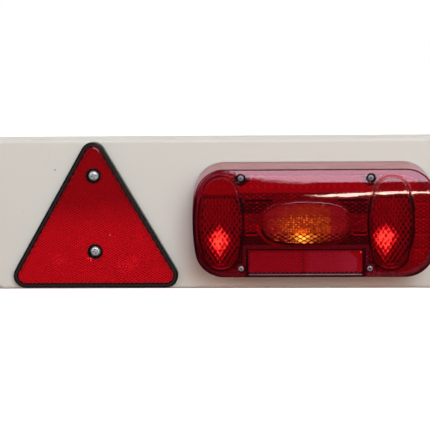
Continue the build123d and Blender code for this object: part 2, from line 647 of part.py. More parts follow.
# Triangle frame: a black dish with a rounded rim and two screw cups
with BuildPart() as triangle_frame:
    with BuildSketch(triangle_plane):
        add(triangle_outline())
    extrude(amount=TRIANGLE_DEPTH)
    fillet(triangle_frame.faces().sort_by(Axis.Y)[0].edges(), TRIANGLE_RIM_RADIUS)
    with BuildSketch(triangle_plane.offset(TRIANGLE_BACK)):
        add(triangle_outline(TRIANGLE_RIM))
    extrude(amount=TRIANGLE_DEPTH, mode=Mode.SUBTRACT)
    with BuildSketch(triangle_plane.offset(TRIANGLE_BACK)):
        with Locations(*TRIANGLE_SCREW_POINTS):
            Circle(CUP_DIAMETER / 2)
    extrude(amount=CUP_HEIGHT)
    with BuildSketch(triangle_plane.offset(CUP_SEAT)):
        with Locations(*TRIANGLE_SCREW_POINTS):
            Circle(CUP_DIAMETER / 2 - CUP_WALL)
    extrude(amount=CUP_HEIGHT, mode=Mode.SUBTRACT)
    with BuildSketch(triangle_plane):
        with Locations(*TRIANGLE_SCREW_POINTS):
            Circle((BOLT_DIAMETER + BOLT_HOLE_CLEARANCE) / 2)
    extrude(amount=CUP_SEAT, mode=Mode.SUBTRACT)
write_pair(triangle_frame.part, "triangle_frame")

# Triangle lens: a red prism plate with a raised plain border, pierced for the screw cups
LENS_INSET = TRIANGLE_RIM + TRIANGLE_LENS_CLEARANCE
with BuildPart() as triangle_lens:
    with BuildSketch(triangle_plane.offset(TRIANGLE_BACK)):
        add(triangle_outline(LENS_INSET))
    extrude(amount=TRIANGLE_LENS_THICKNESS + TRIANGLE_BORDER_HEIGHT)
    with BuildSketch(triangle_plane.offset(TRIANGLE_BACK + TRIANGLE_LENS_THICKNESS)):
        add(triangle_outline(LENS_INSET + TRIANGLE_BORDER))
    extrude(amount=TRIANGLE_DEPTH, mode=Mode.SUBTRACT)
    with BuildSketch(triangle_plane.offset(TRIANGLE_BACK)):
        with Locations(*TRIANGLE_SCREW_POINTS):
            Circle(CUP_DIAMETER / 2 + CUP_CLEARANCE)
    extrude(amount=TRIANGLE_DEPTH, mode=Mode.SUBTRACT)
write_pair(triangle_lens.part, "triangle_lens")
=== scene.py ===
"""Looks of the trailer lighting board: materials, lens optics, prism plates, stage and camera."""
import json
import math

import bpy
import numpy as np
from mathutils import Matrix, Vector


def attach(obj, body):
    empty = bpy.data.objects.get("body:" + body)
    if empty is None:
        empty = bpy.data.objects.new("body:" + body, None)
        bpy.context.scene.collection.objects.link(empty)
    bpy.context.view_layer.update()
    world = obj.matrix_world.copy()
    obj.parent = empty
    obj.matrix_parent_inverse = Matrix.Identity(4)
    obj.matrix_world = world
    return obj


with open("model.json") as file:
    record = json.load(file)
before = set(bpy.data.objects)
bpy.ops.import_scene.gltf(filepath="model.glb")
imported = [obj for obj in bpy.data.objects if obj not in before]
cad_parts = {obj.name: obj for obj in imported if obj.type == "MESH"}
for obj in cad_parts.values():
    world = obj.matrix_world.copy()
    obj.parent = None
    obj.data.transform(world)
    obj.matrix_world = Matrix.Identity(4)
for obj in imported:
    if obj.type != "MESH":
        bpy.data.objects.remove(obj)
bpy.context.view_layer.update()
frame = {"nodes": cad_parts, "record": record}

SIDES = {"left": -1, "right": 1}
MM = 0.001

# Places and sizes that the lamp's and the triangle's pieces share with the CAD, in millimetres
# An oval is its length, its width and the radius of its ends
FACE_Y = -28.0
LAMP, TRIANGLE = (560.0, -2.0), (360.5, -18.21)
LAMP_WIDTH, LAMP_HEIGHT = 220.0, 101.0
LAMP_CORNER, LAMP_BOW = 28.0, 162.0
CROWN_RADIUS, LAMP_DEPTH = 220.0, 46.0
LENS_WALL, LENS_DRAFT, FLANGE_TOP = 2.5, math.tan(math.radians(3.0)), 3.5
LOBES = ((-83.0, 1.5), (67.0, 1.5))
LOBE = (84.0, 41.2, 16.0)
LOBE_PROUD = 2.6
WINDOW_CENTRE = (-8.0, 0.7)
WINDOW = (82.4, 42.0, 18.5)
WINDOW_PROUD = 2.0
PANEL_CENTRE = (-8.0, -34.6)
PANEL_SIZE = (102.0, 24.0)
PANEL_FACE = 40.2
PANEL_SEAT = 2.0
SCREW_POINTS = [(-8.0 + 57.2 * i, 40.6 * j) for i in (-1, 1) for j in (-1, 1)]
BOSS_RADIUS = 6.3
RIB_START, RIB_FOOT = 85.3, 39.1
RIB_ROWS = (17.7, 3.9, -9.9, -23.7)
TRIANGLE_SIDE, TRIANGLE_CORNER = 169.0, 11.5
TRIANGLE_FACE = 5.8
TRIANGLE_BORDER = 5.7
TRIANGLE_SCREWS = ((0.0, 55.3), (0.0, -14.7))
CUP_RADIUS, CUP_WALL = 7.1, 5.6
# Pitch of the teeth inside the triangle's rim, and how its tone falls: from, to and the share that is left
TRIANGLE_TOOTH, TRIANGLE_FALL = 3.914, (-18.0, 20.0, 0.57)


# Arithmetic that works on numpy arrays for shapes and on node sockets for colours

class Field:
    """A number that varies over a surface, worked out by the nodes of one material."""

    def __init__(self, graph, socket):
        self.graph, self.socket = graph, socket

    def __add__(self, other):
        return calc("ADD", self, other)

    def __sub__(self, other):
        return calc("SUBTRACT", self, other)

    def __rsub__(self, other):
        return calc("SUBTRACT", other, self)

    def __mul__(self, other):
        return calc("MULTIPLY", self, other)

    def __truediv__(self, other):
        return calc("DIVIDE", self, other)

    __radd__ = __add__
    __rmul__ = __mul__


ARRAY_STEPS = {
    "ABSOLUTE": np.abs,
    "SQRT": np.sqrt,
    "MAXIMUM": np.maximum,
    "MINIMUM": np.minimum,
    "GREATER_THAN": np.greater,
}


def calc(step, *terms):
    """One step of arithmetic, in nodes when a term is a Field and in numpy otherwise."""
    fields = [term for term in terms if isinstance(term, Field)]
    if not fields:
        return ARRAY_STEPS[step](*terms)
    graph = fields[0].graph
    return Field(graph, graph.add("Math", dict(enumerate(terms)), operation=step))


def larger(a, b):
    return calc("MAXIMUM", a, b)


def smaller(a, b):
    return calc("MINIMUM", a, b)


def more(a, b):
    """1 where a is the larger, 0 elsewhere."""
    return calc("GREATER_THAN", a, b)


def size(a):
    return calc("ABSOLUTE", a)


def span(a, b):
    return calc("SQRT", a * a + b * b)


def choose(test, a, b):
    """b where test is 1, a where it is 0."""
    return a + (b - a) * test


def dim(tone, share):
    """The tone with a share of it taken away."""
    return tone * (1.0 - share)


def rise(x, low, high):
    """0 below low, 1 above high, with a smooth slope between; low may be the larger."""
    if isinstance(x, Field):
        inputs = {"Value": x, "From Min": low, "From Max": high}
        return Field(x.graph, x.graph.add("MapRange", inputs, interpolation_type="SMOOTHSTEP"))
    t = np.clip((x - low) / (high - low), 0.0, 1.0)
    return t * t * (3.0 - 2.0 * t)


def band(x, middle, half, soft):
    """1 within half of the middle, falling to 0 over the soft width."""
    return rise(size(x - middle), half + soft, half)


def patch(u, v, centre, half, soft):
    """1 inside a soft-edged rectangle."""
    return band(u, centre[0], half[0], soft) * band(v, centre[1], half[1], soft)


def away(u, v, place):
    """Distance from a place."""
    return span(u - place[0], v - place[1])


def zigzag(x, pitch):
    """0 to 1 and back again over each pitch."""
    return calc("PINGPONG", x, pitch / 2) * (2.0 / pitch)


def lamp_edge(u, v, inset=0.0):
    """Signed distance to the lamp's outline, negative inside."""
    corner = LAMP_CORNER - inset
    flat = size(v) - (LAMP_HEIGHT / 2 - inset)
    bow = span(size(u) + (LAMP_BOW - LAMP_WIDTH / 2), v) - (LAMP_BOW - inset)
    inner = smaller(larger(flat, bow) + corner, 0.0)
    return inner + span(larger(flat + corner, 0.0), larger(bow + corner, 0.0)) - corner


def oval_edge(along, across, oval, inset=0.0):
    """Signed distance to an oval of four tangent arcs, negative inside."""
    length, width, end = oval
    run = length / 2 - end
    short = width / 2
    shift = (run**2 + short**2 - end**2) / (2 * (short - end)) - short
    x, y = size(along), size(across)
    flank = span(x, y + shift) - (shift + short)
    tip = span(x - run, y) - end
    return choose(more((x - run) * shift, y * run), flank, tip) + inset


def lobe_edge(u, v, place, inset=0.0):
    return oval_edge(v - place[1], u - place[0], LOBE, inset)


def lobes_edge(u, v):
    """Signed distance to the nearer lobe."""
    return smaller(*(lobe_edge(u, v, place) for place in LOBES))


def window_edge(u, v, inset=0.0):
    return oval_edge(u - WINDOW_CENTRE[0], v - WINDOW_CENTRE[1], WINDOW, inset)


def panel_edge(u, v, margin=0.0):
    across = size(u - PANEL_CENTRE[0]) - (PANEL_SIZE[0] / 2 + margin)
    return larger(across, size(v - PANEL_CENTRE[1]) - (PANEL_SIZE[1] / 2 + margin))


def crown(v, proud):
    """Height of the lamp's crowned front above the board's face."""
    return LAMP_DEPTH - CROWN_RADIUS + calc("SQRT", (CROWN_RADIUS + proud) ** 2 - v * v)


def triangle_edge(u, v, inset=0.0):
    """Signed distance to the reflector's rounded triangle, negative inside."""
    corner = TRIANGLE_CORNER - inset
    inradius = TRIANGLE_SIDE / (2 * math.sqrt(3)) - TRIANGLE_CORNER
    half = inradius * math.sqrt(3)
    u = size(u)
    foot = -1.0 * v - inradius
    slant = u * (math.sqrt(3) / 2) + v * 0.5 - inradius
    along = u * -0.5 + v * (math.sqrt(3) / 2)
    past_foot = more(foot, 0.0) * more(u, half)
    past_slant = more(slant, 0.0) * more(-half, along)
    past_apex = more(slant, 0.0) * more(along, half)
    edge = choose(larger(past_foot, past_slant), larger(foot, slant), span(u - half, v + inradius))
    return choose(past_apex, edge, span(u, v - 2 * inradius)) - corner


# Materials

class Graph:
    """The nodes of a material, or of the world, under construction."""

    def __init__(self, name, library=bpy.data.materials):
        self.owner = library.new(name)
        self.owner.use_nodes = True
        self.tree = self.owner.node_tree
        self.tree.nodes.clear()

    def add(self, kind, inputs=None, output=0, **settings):
        """One node's output; its inputs are Fields, sockets, numbers, vectors or (red, green, blue)."""
        node = self.tree.nodes.new("ShaderNode" + kind)
        for key, value in settings.items():
            setattr(node, key, value)
        for key, value in (inputs or {}).items():
            socket = node.inputs[key]
            if isinstance(value, Field):
                value = value.socket
            if isinstance(value, bpy.types.NodeSocket):
                self.tree.links.new(value, socket)
            elif socket.type == "RGBA":
                socket.default_value = (*value, 1.0)
            else:
                socket.default_value = value
        return node.outputs[output]

    def split(self, vector):
        """The three parts of a vector socket, as Fields."""
        xyz = self.tree.nodes.new("ShaderNodeSeparateXYZ")
        self.tree.links.new(vector, xyz.inputs[0])
        return [Field(self, part) for part in xyz.outputs]

    def vector(self, *parts):
        """Three numbers as one vector or colour."""
        return self.add("CombineXYZ", dict(enumerate(parts)))

    def place(self):
        """The three object coordinates in millimetres, as Fields."""
        return [part * 1000.0 for part in self.split(self.add("TexCoord", output="Object"))]

    def on(self, middle):
        """Places across and up from the lamp's or triangle's middle, the same at both ends of the board."""
        x, _, z = self.place()
        return size(x) - middle[0], z - middle[1]

    def noise(self, scale, detail=3.0, stretch=(1.0, 1.0, 1.0)):
        """Noise around 0.5, with features about 1/scale metres long."""
        vector = self.add("TexCoord", output="Object")
        scaled = self.add("Mapping", {"Vector": vector, "Scale": stretch})
        inputs = {"Vector": scaled, "Scale": scale, "Detail": detail}
        return Field(self, self.add("TexNoise", inputs, output="Fac"))

    def dice(self, a, b):
        """A number from 0 to 1 that is even over each cell."""
        cell = self.vector(a, b, 0.0)
        return Field(self, self.add("TexWhiteNoise", {"Vector": cell}, output="Value"))

    def mix(self, share, a, b):
        """A colour between a and b."""
        return self.add("Mix", {0: share, 6: a, 7: b}, output=2, data_type="RGBA")

    def grain(self, scale, strength, distance=0.0002):
        """The normal of a finely uneven face."""
        inputs = {"Height": self.noise(scale, 2.0), "Strength": strength, "Distance": distance}
        return self.add("Bump", inputs)

    def finish(self, shader, kind="Material"):
        output = self.tree.nodes.new("ShaderNodeOutput" + kind)
        self.tree.links.new(shader, output.inputs["Surface"])
        return self.owner

    def solid(self, base, roughness, specular=0.5, glow=None, **others):
        """The finished material of an opaque surface; glow is the colour and strength of its light."""
        inputs = {"Base Color": base, "Roughness": roughness, "Specular IOR Level": specular, **others}
        if glow is not None:
            inputs["Emission Color"], inputs["Emission Strength"] = glow
        return self.finish(self.add("BsdfPrincipled", inputs))


def moulded(name, dark, light, roughness, grain, bump=0.15, **shine):
    """A solid plastic, rubber or metal with mottled colour, uneven gloss and a fine grain."""
    g = Graph(name)
    base = g.mix(rise(g.noise(grain * 0.12, 4.0), 0.3, 0.7), dark, light)
    uneven = roughness + (g.noise(grain * 0.3) - 0.5) * (0.5 * roughness)
    return g.solid(base, uneven, Normal=g.grain(grain, bump), **shine)


# Clear plastic: tints of the light that passes, tint, index and roughness of its gloss, and its ripple
RED_TINT, AMBER_TINT = (0.99, 0.50, 0.60), (0.99, 0.78, 0.56)
MIRROR_TINT, MIRROR_INDEX, MIRROR_ROUGHNESS = (1.0, 0.67, 0.81), 1.53, 0.035
RIPPLE = 0.09

# Frosted side wall of the lens: share of the light that it scatters, above and below, and its colours
SIDE_FROST, LOW_FROST = 0.36, 0.60
# FROST's pale pink on the upper walls is partly frosted plastic and partly a painted reflection of the pale
# surroundings.
FROST, FROST_FOOT, FROST_LOW = (0.92, 0.43, 0.340), (0.92, 0.20, 0.16), (0.62, 0.05, 0.06)
WALL_BACK = (0.20, 0.003, 0.008)

# The lens's front: colours of its border, the seat round the panel, its dark lines of painted shade and the
# lobes' ends, with a painted reflection on the outboard lobe's top
RIM_RED, STRIP_RED = (0.125, 0.003, 0.007), (0.18, 0.003, 0.010)
RIM_SHADE, RIM_DULL, RIM_BRIGHT = (0.030, 0.001, 0.003), (0.085, 0.007, 0.010), (0.190, 0.010, 0.015)
SEAT_RED, PAINTED_EDGE_SHADE = (0.120, 0.002, 0.007), (0.016, 0.001, 0.003)
CAP_PAINTED_REFLECTION, ARC_RED = (0.52, 0.20, 0.25), (0.34, 0.004, 0.015)
COUNTERBORE = 4.2


class LensPlace:
    """Where a point lies on the lens, as Fields that the lens's layers share."""

    def __init__(self, g, outside):
        self.u, self.v = g.on(LAMP)
        self.out = -1.0 * g.place()[1] + FACE_Y
        self.outside = outside
        self.facing = size(g.split(g.add("NewGeometry", output="Normal"))[1])
        self.front = rise(self.facing, 0.80, 0.88)
        self.skirt = lamp_edge(self.u, self.v) + (self.out - FLANGE_TOP) * LENS_DRAFT
        self.lobe = lobes_edge(self.u, self.v)
        self.window = window_edge(self.u, self.v)
        self.right = rise(self.u, -40.0, 0.0)
        self.turn = choose(self.right, 0.88, 0.80)
        self.below_caps = rise(self.v, 30.0, 22.0)


def wall_layer(g, at):
    """The frosted side wall; the pale pink of its upper part is partly frost and partly a painted reflection.
    """
    wall = rise(at.facing, 0.30, 0.2) * rise(at.skirt, -1.4, -0.9)
    lines = 0.9 + 0.2 * rise(g.noise(30.0, 2.0, (0.2, 40.0, 0.2)), 0.35, 0.65)
    above = rise(at.v, 24.0, 34.0)
    cover = choose(at.outside, 0.97, choose(above, LOW_FROST, SIDE_FROST) * lines)
    frost = g.mix(band(at.out, 6.0, 1.5, 2.0), FROST, FROST_FOOT)
    frost = g.mix(above, FROST_LOW, frost)
    return wall, cover, g.mix(at.outside, WALL_BACK, frost)


def rim_layer(g, at):
    """The front's border: red with a dark inner line of painted shade at the left, speckled at the right."""
    rim = rise(at.skirt, -5.4, -5.0) * rise(at.facing, at.turn - 0.06, at.turn) * at.outside
    inner = rise(at.skirt, -4.2, -4.7) * rise(at.u, -50.0, -62.0) * rise(at.v, 30.0, 20.0)
    inner = larger(inner, rise(size(at.lobe - 1.4), 1.6, 1.0) * rise(at.v, -12.0, -24.0))
    speckle = rise(g.noise(260.0, 2.0), 0.38, 0.62)
    border = g.mix(inner, RIM_RED, RIM_SHADE)
    border = g.mix(at.right, border, g.mix(speckle, RIM_DULL, RIM_BRIGHT))
    return rim, 0.8, g.mix(rise(at.v, 5.0, 32.0), border, STRIP_RED)


def seat_layer(at):
    """The seat round the panel."""
    return band(panel_edge(at.u, at.v), 2.7, 1.3, 0.5) * at.front * at.outside, 0.6, SEAT_RED


def painted_shade_layer(at):
    """Painted shade: dark lines along the front's edge, beside and under the panel, and in the screw holes,
    the upper holes darkest.
    """
    u, v = at.u, at.v
    left = 1.0 - at.right
    edge_line = rise(at.skirt, -3.0, -2.5) * at.below_caps * left
    edge_line = dim(edge_line, 0.88 * rise(v, -26.0, -36.0) * left)
    foot_line = 0.85 * rise(at.skirt, -0.95, -0.55) * rise(v, -24.0, -36.0)
    dark = rise(at.skirt, -2.6, -2.0) * rise(at.facing, 0.26, 0.32)
    dark = dark * rise(at.facing, at.turn + 0.04, at.turn)
    dark = larger(dark, larger(edge_line, foot_line) * at.front) * at.outside
    panel_end = size(u - PANEL_CENTRE[0]) - PANEL_SIZE[0] / 2
    beside = band(panel_end, 1.0, 0.9, 0.4) * rise(v, -20.5, -21.5) * rise(v, -49.0, -47.5)
    under = 0.8 * rise(panel_end, 0.5, -0.5) * rise(v, -46.3, -47.3) * at.outside
    dark = larger(larger(dark, beside), under)
    hole_share = choose(rise(v, -5.0, 5.0), 0.55, 1.0)
    for place in SCREW_POINTS:
        dark = larger(dark, hole_share * rise(away(u, v, place), COUNTERBORE + 0.4, COUNTERBORE))
    return dark, 0.85, PAINTED_EDGE_SHADE


def mould_line(at):
    """Matt lines round the lobes and along the lens's inboard end."""
    top_share = choose(rise(at.u, 0.0, 20.0), 0.97, 0.55)
    line = rise(size(at.lobe + 0.7), 2.4, 1.4) * choose(rise(at.v, 24.0, 30.0), 1.0, top_share)
    line = larger(line, rise(at.u, -94.0, -97.0) * at.below_caps)
    return dim(line, 0.75 * band(at.v, 28.2, 2.2, 1.2))


def cap_layer(at, line):
    """A painted reflection: the pale line round the top of the outboard lobe."""
    return line * rise(at.v, 35.0, 39.0) * rise(at.u, 0.0, 20.0), 0.85, CAP_PAINTED_REFLECTION


def arc_layer(at):
    """The bright arc round the foot of each lobe."""
    arc = rise(size(at.lobe + 0.9), 1.5, 0.7) * rise(at.v, -36.8, -38.4)
    return arc * choose(at.right, 0.85, 0.45) * at.outside, 0.9, ARC_RED


def clear_plastic(name, tint, body, share, lens=False, edge_tint=None):
    """Clear coloured plastic: it tints what lies behind it, and its outer faces mirror the light."""
    g = Graph(name)
    outside = 1.0 - Field(g, g.add("NewGeometry", output="Backfacing"))
    haze = share * (0.8 + 0.4 * g.noise(40.0))
    shine, ripple_strength, roughness = outside, RIPPLE, MIRROR_ROUGHNESS
    if lens:
        at = LensPlace(g, outside)
        line = mould_line(at)
        layers = [wall_layer(g, at), rim_layer(g, at), seat_layer(at), painted_shade_layer(at)]
        for mask, cover, paint in layers + [cap_layer(at, line), arc_layer(at)]:
            haze = choose(mask, haze, cover)
            body = g.mix(mask, body, paint)
        shine = dim(dim(outside, 0.94 * line), 0.3 * band(at.window, -0.5, 1.5, 0.4))
        ripple_strength = dim(RIPPLE, 0.8 * band(at.window, -0.5, 2.5, 1.0))
        roughness = MIRROR_ROUGHNESS + 0.25 * line
        if edge_tint is not None:
            tint = g.mix(rise(at.window, -3.4, -2.6), tint, edge_tint)
    ripple = g.grain(110.0, ripple_strength, 0.0004)
    gloss = Field(g, g.add("Fresnel", {"IOR": MIRROR_INDEX, "Normal": ripple})) * shine
    through = g.add("BsdfTransparent", {"Color": tint})
    skin = g.add("BsdfDiffuse", {"Color": body})
    core = g.add("MixShader", {0: haze, 1: through, 2: skin})
    mirror_inputs = {"Color": MIRROR_TINT, "Roughness": roughness, "Normal": ripple}
    mirror = g.add("BsdfAnisotropic", mirror_inputs)
    return g.finish(g.add("MixShader", {0: gloss, 1: core, 2: mirror}))


# Small marks on the board's face: place, radius, strength and colour
SPECKS = [
    ((324.6, 41.9), 1.1, 0.75, (0.10, 0.08, 0.06)),
    ((293.9, 3.1), 1.3, 0.30, (0.45, 0.36, 0.16)),
    ((627.7, -64.6), 0.9, 0.70, (0.12, 0.10, 0.08)),
    ((271.0, -67.0), 2.0, 0.45, (0.20, 0.18, 0.16)),
]
SCRATCH_CENTRE, SCRATCH_RADIUS = (290.0, 65.0), 31.0
DUST, SCRATCH_GREY, PAINTED_LENS_LIGHT = (0.42, 0.38, 0.32), (0.40, 0.37, 0.32), (0.550, 0.462, 0.436)


def board_plastic():
    """Satin off-white plastic with specks, a hairline scratch and painted warm light that the lens throws
    below it.
    """
    g = Graph("board_plastic")
    x, y, z = g.place()
    u, v = g.on(LAMP)
    front = rise(y, -26.0, -27.5)
    shade = rise(g.noise(9.0, 4.0), 0.25, 0.75)
    base = g.mix(shade, (0.560, 0.548, 0.524), (0.576, 0.564, 0.540))
    base = g.mix(rise(g.noise(900.0, 2.0), 0.70, 0.78) * 0.10, base, DUST)
    for place, radius, strength, stain in SPECKS:
        spot = rise(away(x, z, place), radius, radius * 0.35) * front * strength
        base = g.mix(spot, base, stain)
    arc = size(away(x, z, SCRATCH_CENTRE) - SCRATCH_RADIUS)
    scratch = rise(arc, 0.5, 0.15) * patch(x, z, (317.0, 53.0), (6.0, 7.0), 1.5) * front
    base = g.mix(scratch * 0.18, base, SCRATCH_GREY)
    # Painted light: a warm pink below the lamp, where light through the red lens would fall.
    painted_lens_light = rise(lamp_edge(u, v), 40.0, 6.0) * rise(v, -42.0, -58.0)
    painted_lens_light = painted_lens_light * choose(rise(u, 60.0, 110.0), 1.0, 0.2) * front
    base = g.mix(painted_lens_light, base, PAINTED_LENS_LIGHT)
    return g.solid(base, 0.46 + 0.12 * g.noise(60.0), 0.15, Normal=g.grain(1400.0, 0.10, 0.0001))


def panel_plate():
    """The panel's own plate behind its prisms: red, with a dark foot and a painted shade line along the top,
    under the recess's edge.
    """
    g = Graph("reflex_red")
    _, v = g.on(LAMP)
    low, high = PANEL_CENTRE[1] - PANEL_SIZE[1] / 2, PANEL_CENTRE[1] + PANEL_SIZE[1] / 2
    red = g.mix(g.noise(300.0), (0.12, 0.001, 0.003), (0.16, 0.002, 0.005))
    red = g.mix(rise(v, low + 3.4, low + 3.0), red, (0.045, 0.001, 0.004))
    # Painted shade under the recess's top edge.
    red = g.mix(rise(v, high - 1.4, high - 1.0), red, (0.012, 0.001, 0.002))
    return g.solid(red, 0.25 + 0.1 * g.noise(200.0, 2.0), 0.05)


def prism_fall(z, low, high, share):
    """Share of the full tone that prisms keep: all of it low on the board, less towards the top."""
    return choose(rise(z, high, low), share, 1.0)


def triangle_black():
    """Black moulded plastic with a painted highlight along the lip round the prisms."""
    g = Graph("triangle_black")
    inset = -1.0 * triangle_edge(*g.on(TRIANGLE))
    black = g.mix(g.noise(110.0, 4.0), (0.004, 0.004, 0.004), (0.008, 0.008, 0.008))
    # Painted highlight: a paler band along the lip round the prisms.
    black = g.mix(band(inset, 2.6, 0.5, 0.5), black, (0.028, 0.016, 0.020))
    return g.solid(black, 0.12 + 0.08 * g.noise(270.0), 0.18, Normal=g.grain(900.0, 0.05))


def triangle_plate():
    """The plate under the triangle's prisms: red, with painted shade along its toothed edge, dark cups and a
    painted red and white glint at the apex.
    """
    g = Graph("triangle_red")
    u, v = g.on(TRIANGLE)
    inset = -1.0 * triangle_edge(u, v)
    # Painted shade: dark in the toothed gap between the rim and the prisms.
    lit = rise(inset - 0.8 * zigzag(u, TRIANGLE_TOOTH), 4.0, 4.4)
    for place in TRIANGLE_SCREWS:
        lit = lit * rise(away(u, v, place), CUP_RADIUS - 0.3, CUP_RADIUS + 0.1)
    tone = 0.35 * prism_fall(v + TRIANGLE[1], *TRIANGLE_FALL) * (0.85 + 0.3 * g.noise(300.0))
    paint = g.mix(lit, (0.012, 0.003, 0.003), g.vector(tone, tone * 0.01, tone * 0.02))
    # Painted glint on the lip near the apex, red on its outer side and whitish on its inner side.
    glint = band(u, 3.0, 2.2, 1.0) * rise(v, 60.0, 70.0)
    paint = g.mix(band(inset, 4.3, 0.35, 0.3) * glint, paint, (0.55, 0.01, 0.02))
    paint = g.mix(band(inset, 5.5, 0.3, 0.3) * glint, paint, (0.30, 0.20, 0.22))
    return g.solid(paint, 0.22 + 0.1 * g.noise(200.0, 2.0), 0.15)


# Cross slots of the lens screws: half length and half width, and the cosine and sine of their turn
SLOT, SLOT_TURN = (1.3, 0.38), (math.cos(math.radians(15.0)), math.sin(math.radians(15.0)))


def screw_steel():
    """Zinc-plated steel, with painted shade: darker on the lamp, round the lamp screws' heads, in the slots
    and in crevices.
    """
    g = Graph("screw_steel")
    # Painted shade in crevices, from ambient occlusion.
    open_sky = Field(g, g.add("AmbientOcclusion", {"Distance": 0.0016}, output="AO", only_local=True))
    plate = g.mix(g.noise(180.0, 4.0), (0.50, 0.48, 0.53), (0.60, 0.58, 0.63))
    lamp_shade = rise(g.place()[1], FACE_Y - 28.0, FACE_Y - 32.0)
    plate = g.mix(lamp_shade, plate, (0.34, 0.33, 0.37))
    u, v = g.on(LAMP)
    for x, z in SCREW_POINTS:
        # Painted shade in the lamp screws' slots and round their heads, in the counterbores.
        along = (u - x) * SLOT_TURN[0] + (v - z) * SLOT_TURN[1]
        across = (v - z) * SLOT_TURN[0] - (u - x) * SLOT_TURN[1]
        bars = [patch(a, b, (0.0, 0.0), SLOT, 0.1) for a, b in ((along, across), (across, along))]
        head_rim_shade = band(span(along, across), 2.75, 0.25, 0.3)
        dark = larger(larger(*bars), 0.8 * head_rim_shade) * lamp_shade
        plate = g.mix(dark, plate, (0.04, 0.035, 0.04))
    plate = g.mix(rise(open_sky, 0.25, 0.65), (0.02, 0.02, 0.02), plate)
    roughness = 0.34 + 0.15 * g.noise(450.0)
    return g.solid(plate, roughness, Metallic=0.35, Normal=g.grain(1500.0, 0.12))


MATERIALS = {
    "board_plastic": board_plastic(),
    "seal_rubber": moulded("seal_rubber", (0.016, 0.016, 0.017), (0.028, 0.027, 0.027), 0.62, 900.0, 0.3),
    "base_plastic": moulded("base_plastic", (0.018, 0.018, 0.019), (0.030, 0.030, 0.031), 0.42, 1200.0),
    "lamp_red": clear_plastic("lamp_red", RED_TINT, (0.50, 0.010, 0.020), 0.015, True),
    "lamp_amber": clear_plastic("lamp_amber", AMBER_TINT, (0.50, 0.020, 0.015), 0.015, True, RED_TINT),
    "reflex_red": panel_plate(),
    "bright_reflector": moulded(
        "bright_reflector", (0.80, 0.80, 0.81), (0.88, 0.88, 0.88), 0.14, 300.0, 0.05, Metallic=1.0),
    "bulb_glass": clear_plastic("bulb_glass", (0.95, 0.95, 0.95), (0.8, 0.8, 0.8), 0.08),
    "bulb_amber": clear_plastic("bulb_amber", (0.98, 0.62, 0.16), (0.8, 0.35, 0.03), 0.20),
    "bulb_brass": moulded(
        "bulb_brass", (0.66, 0.47, 0.18), (0.76, 0.58, 0.27), 0.30, 700.0, 0.1, Metallic=1.0),
    "holder_plastic": moulded("holder_plastic", (0.70, 0.69, 0.65), (0.77, 0.76, 0.72), 0.45, 900.0),
    "screw_steel": screw_steel(),
    "triangle_black": triangle_black(),
    "triangle_red": triangle_plate(),
}
for row in frame["record"]["subparts"]:
    mesh = frame["nodes"][row["node"]].data
    mesh.materials.clear()
    mesh.materials.append(MATERIALS[row["material_slot"]])


# Pieces

def add_piece(name, side, shape, material, origin=LAMP, smooth=False):
    """A mesh piece from points (across, up, out of the board's face) in mm, mirrored at the left-hand end."""
    points, faces = shape
    across, up, out = points.T
    if SIDES[side] < 0:
        faces = [face[::-1] for face in faces]
    places = np.stack([SIDES[side] * (origin[0] + across), FACE_Y - out, origin[1] + up], axis=1)
    mesh = bpy.data.meshes.new(f"{name}_{side}")
    mesh.from_pydata(places * MM, [], faces)
    mesh.validate()
    mesh.materials.append(material)
    mesh.polygons.foreach_set("use_smooth", [smooth] * len(mesh.polygons))
    piece = bpy.data.objects.new(f"{name}_{side}", mesh)
    bpy.context.scene.collection.objects.link(piece)
    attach(piece, "root")


def closed_sheet(top, triangles, floor):
    """A sheet of triangles, closed by walls round its edges and a copy of itself at the floor heights."""
    bottom = top.copy()
    bottom[:, 2] = floor
    count = len(top)
    faces = [tuple(t) for t in triangles] + [tuple(count + i for i in t[::-1]) for t in triangles]
    edges = {(t[i], t[(i + 1) % 3]) for t in triangles for i in range(3)}
    faces += [(a, a + count, b + count, b) for a, b in edges if (b, a) not in edges]
    return np.vstack([top, bottom]), faces


def cells(points, middles, ring):
    """Triangles from each middle point of a grid to the ring of its neighbours, and the points they use."""
    middles[[0, -1], :] = False
    middles[:, [0, -1]] = False
    index = np.arange(middles.size).reshape(middles.shape)
    i, j = np.nonzero(middles)
    around = [index[i + di, j + dj] for di, dj in ring]
    after = around[1:] + around[:1]
    triangles = np.vstack([np.stack([index[i, j], a, b], axis=1) for a, b in zip(around, after)])
    kept = np.unique(triangles)
    place = np.zeros(index.size, int)
    place[kept] = np.arange(len(kept))
    return points.reshape(-1, 3)[kept], [tuple(int(k) for k in row) for row in place[triangles]]


def joined(*parts):
    """Several point and face lists as one."""
    points, faces, start = [], [], 0
    for part_points, part_faces in parts:
        points.append(part_points)
        faces += [tuple(start + i for i in face) for face in part_faces]
        start += len(part_points)
    return np.vstack(points), faces


def mirrored(shape):
    """The same shape turned over left to right."""
    points, faces = shape
    return points * np.array([-1.0, 1.0, 1.0]), [face[::-1] for face in faces]


def ring_faces(count, rings, closed=False):
    """Faces between each ring of points and the next, and from the last to the first where closed."""
    faces = []
    for ring in range(rings if closed else rings - 1):
        after = (ring + 1) % rings
        for i in range(count):
            k = (i + 1) % count
            faces.append((ring * count + i, ring * count + k, after * count + k, after * count + i))
    return faces


# Diamond cells of the lens's inner face: width and height of a cell, and how far its middle stands out
LOBE_CELL, LOBE_RELIEF = (4.3, 6.8), -0.9
FIELD_CELL, FIELD_RELIEF = (6.0, 3.5), 0.5
WINDOW_CELL, WINDOW_RELIEF = (6.4, 3.6), 0.5
SHEET_GAP, SHEET_THICKNESS = 0.3, 0.45
WINDOW_MARGIN, WINDOW_FIT, LOBE_SINK = 4.5, 0.15, 0.2
DIAMOND = ((1, 0), (0, 1), (-1, 0), (0, -1))


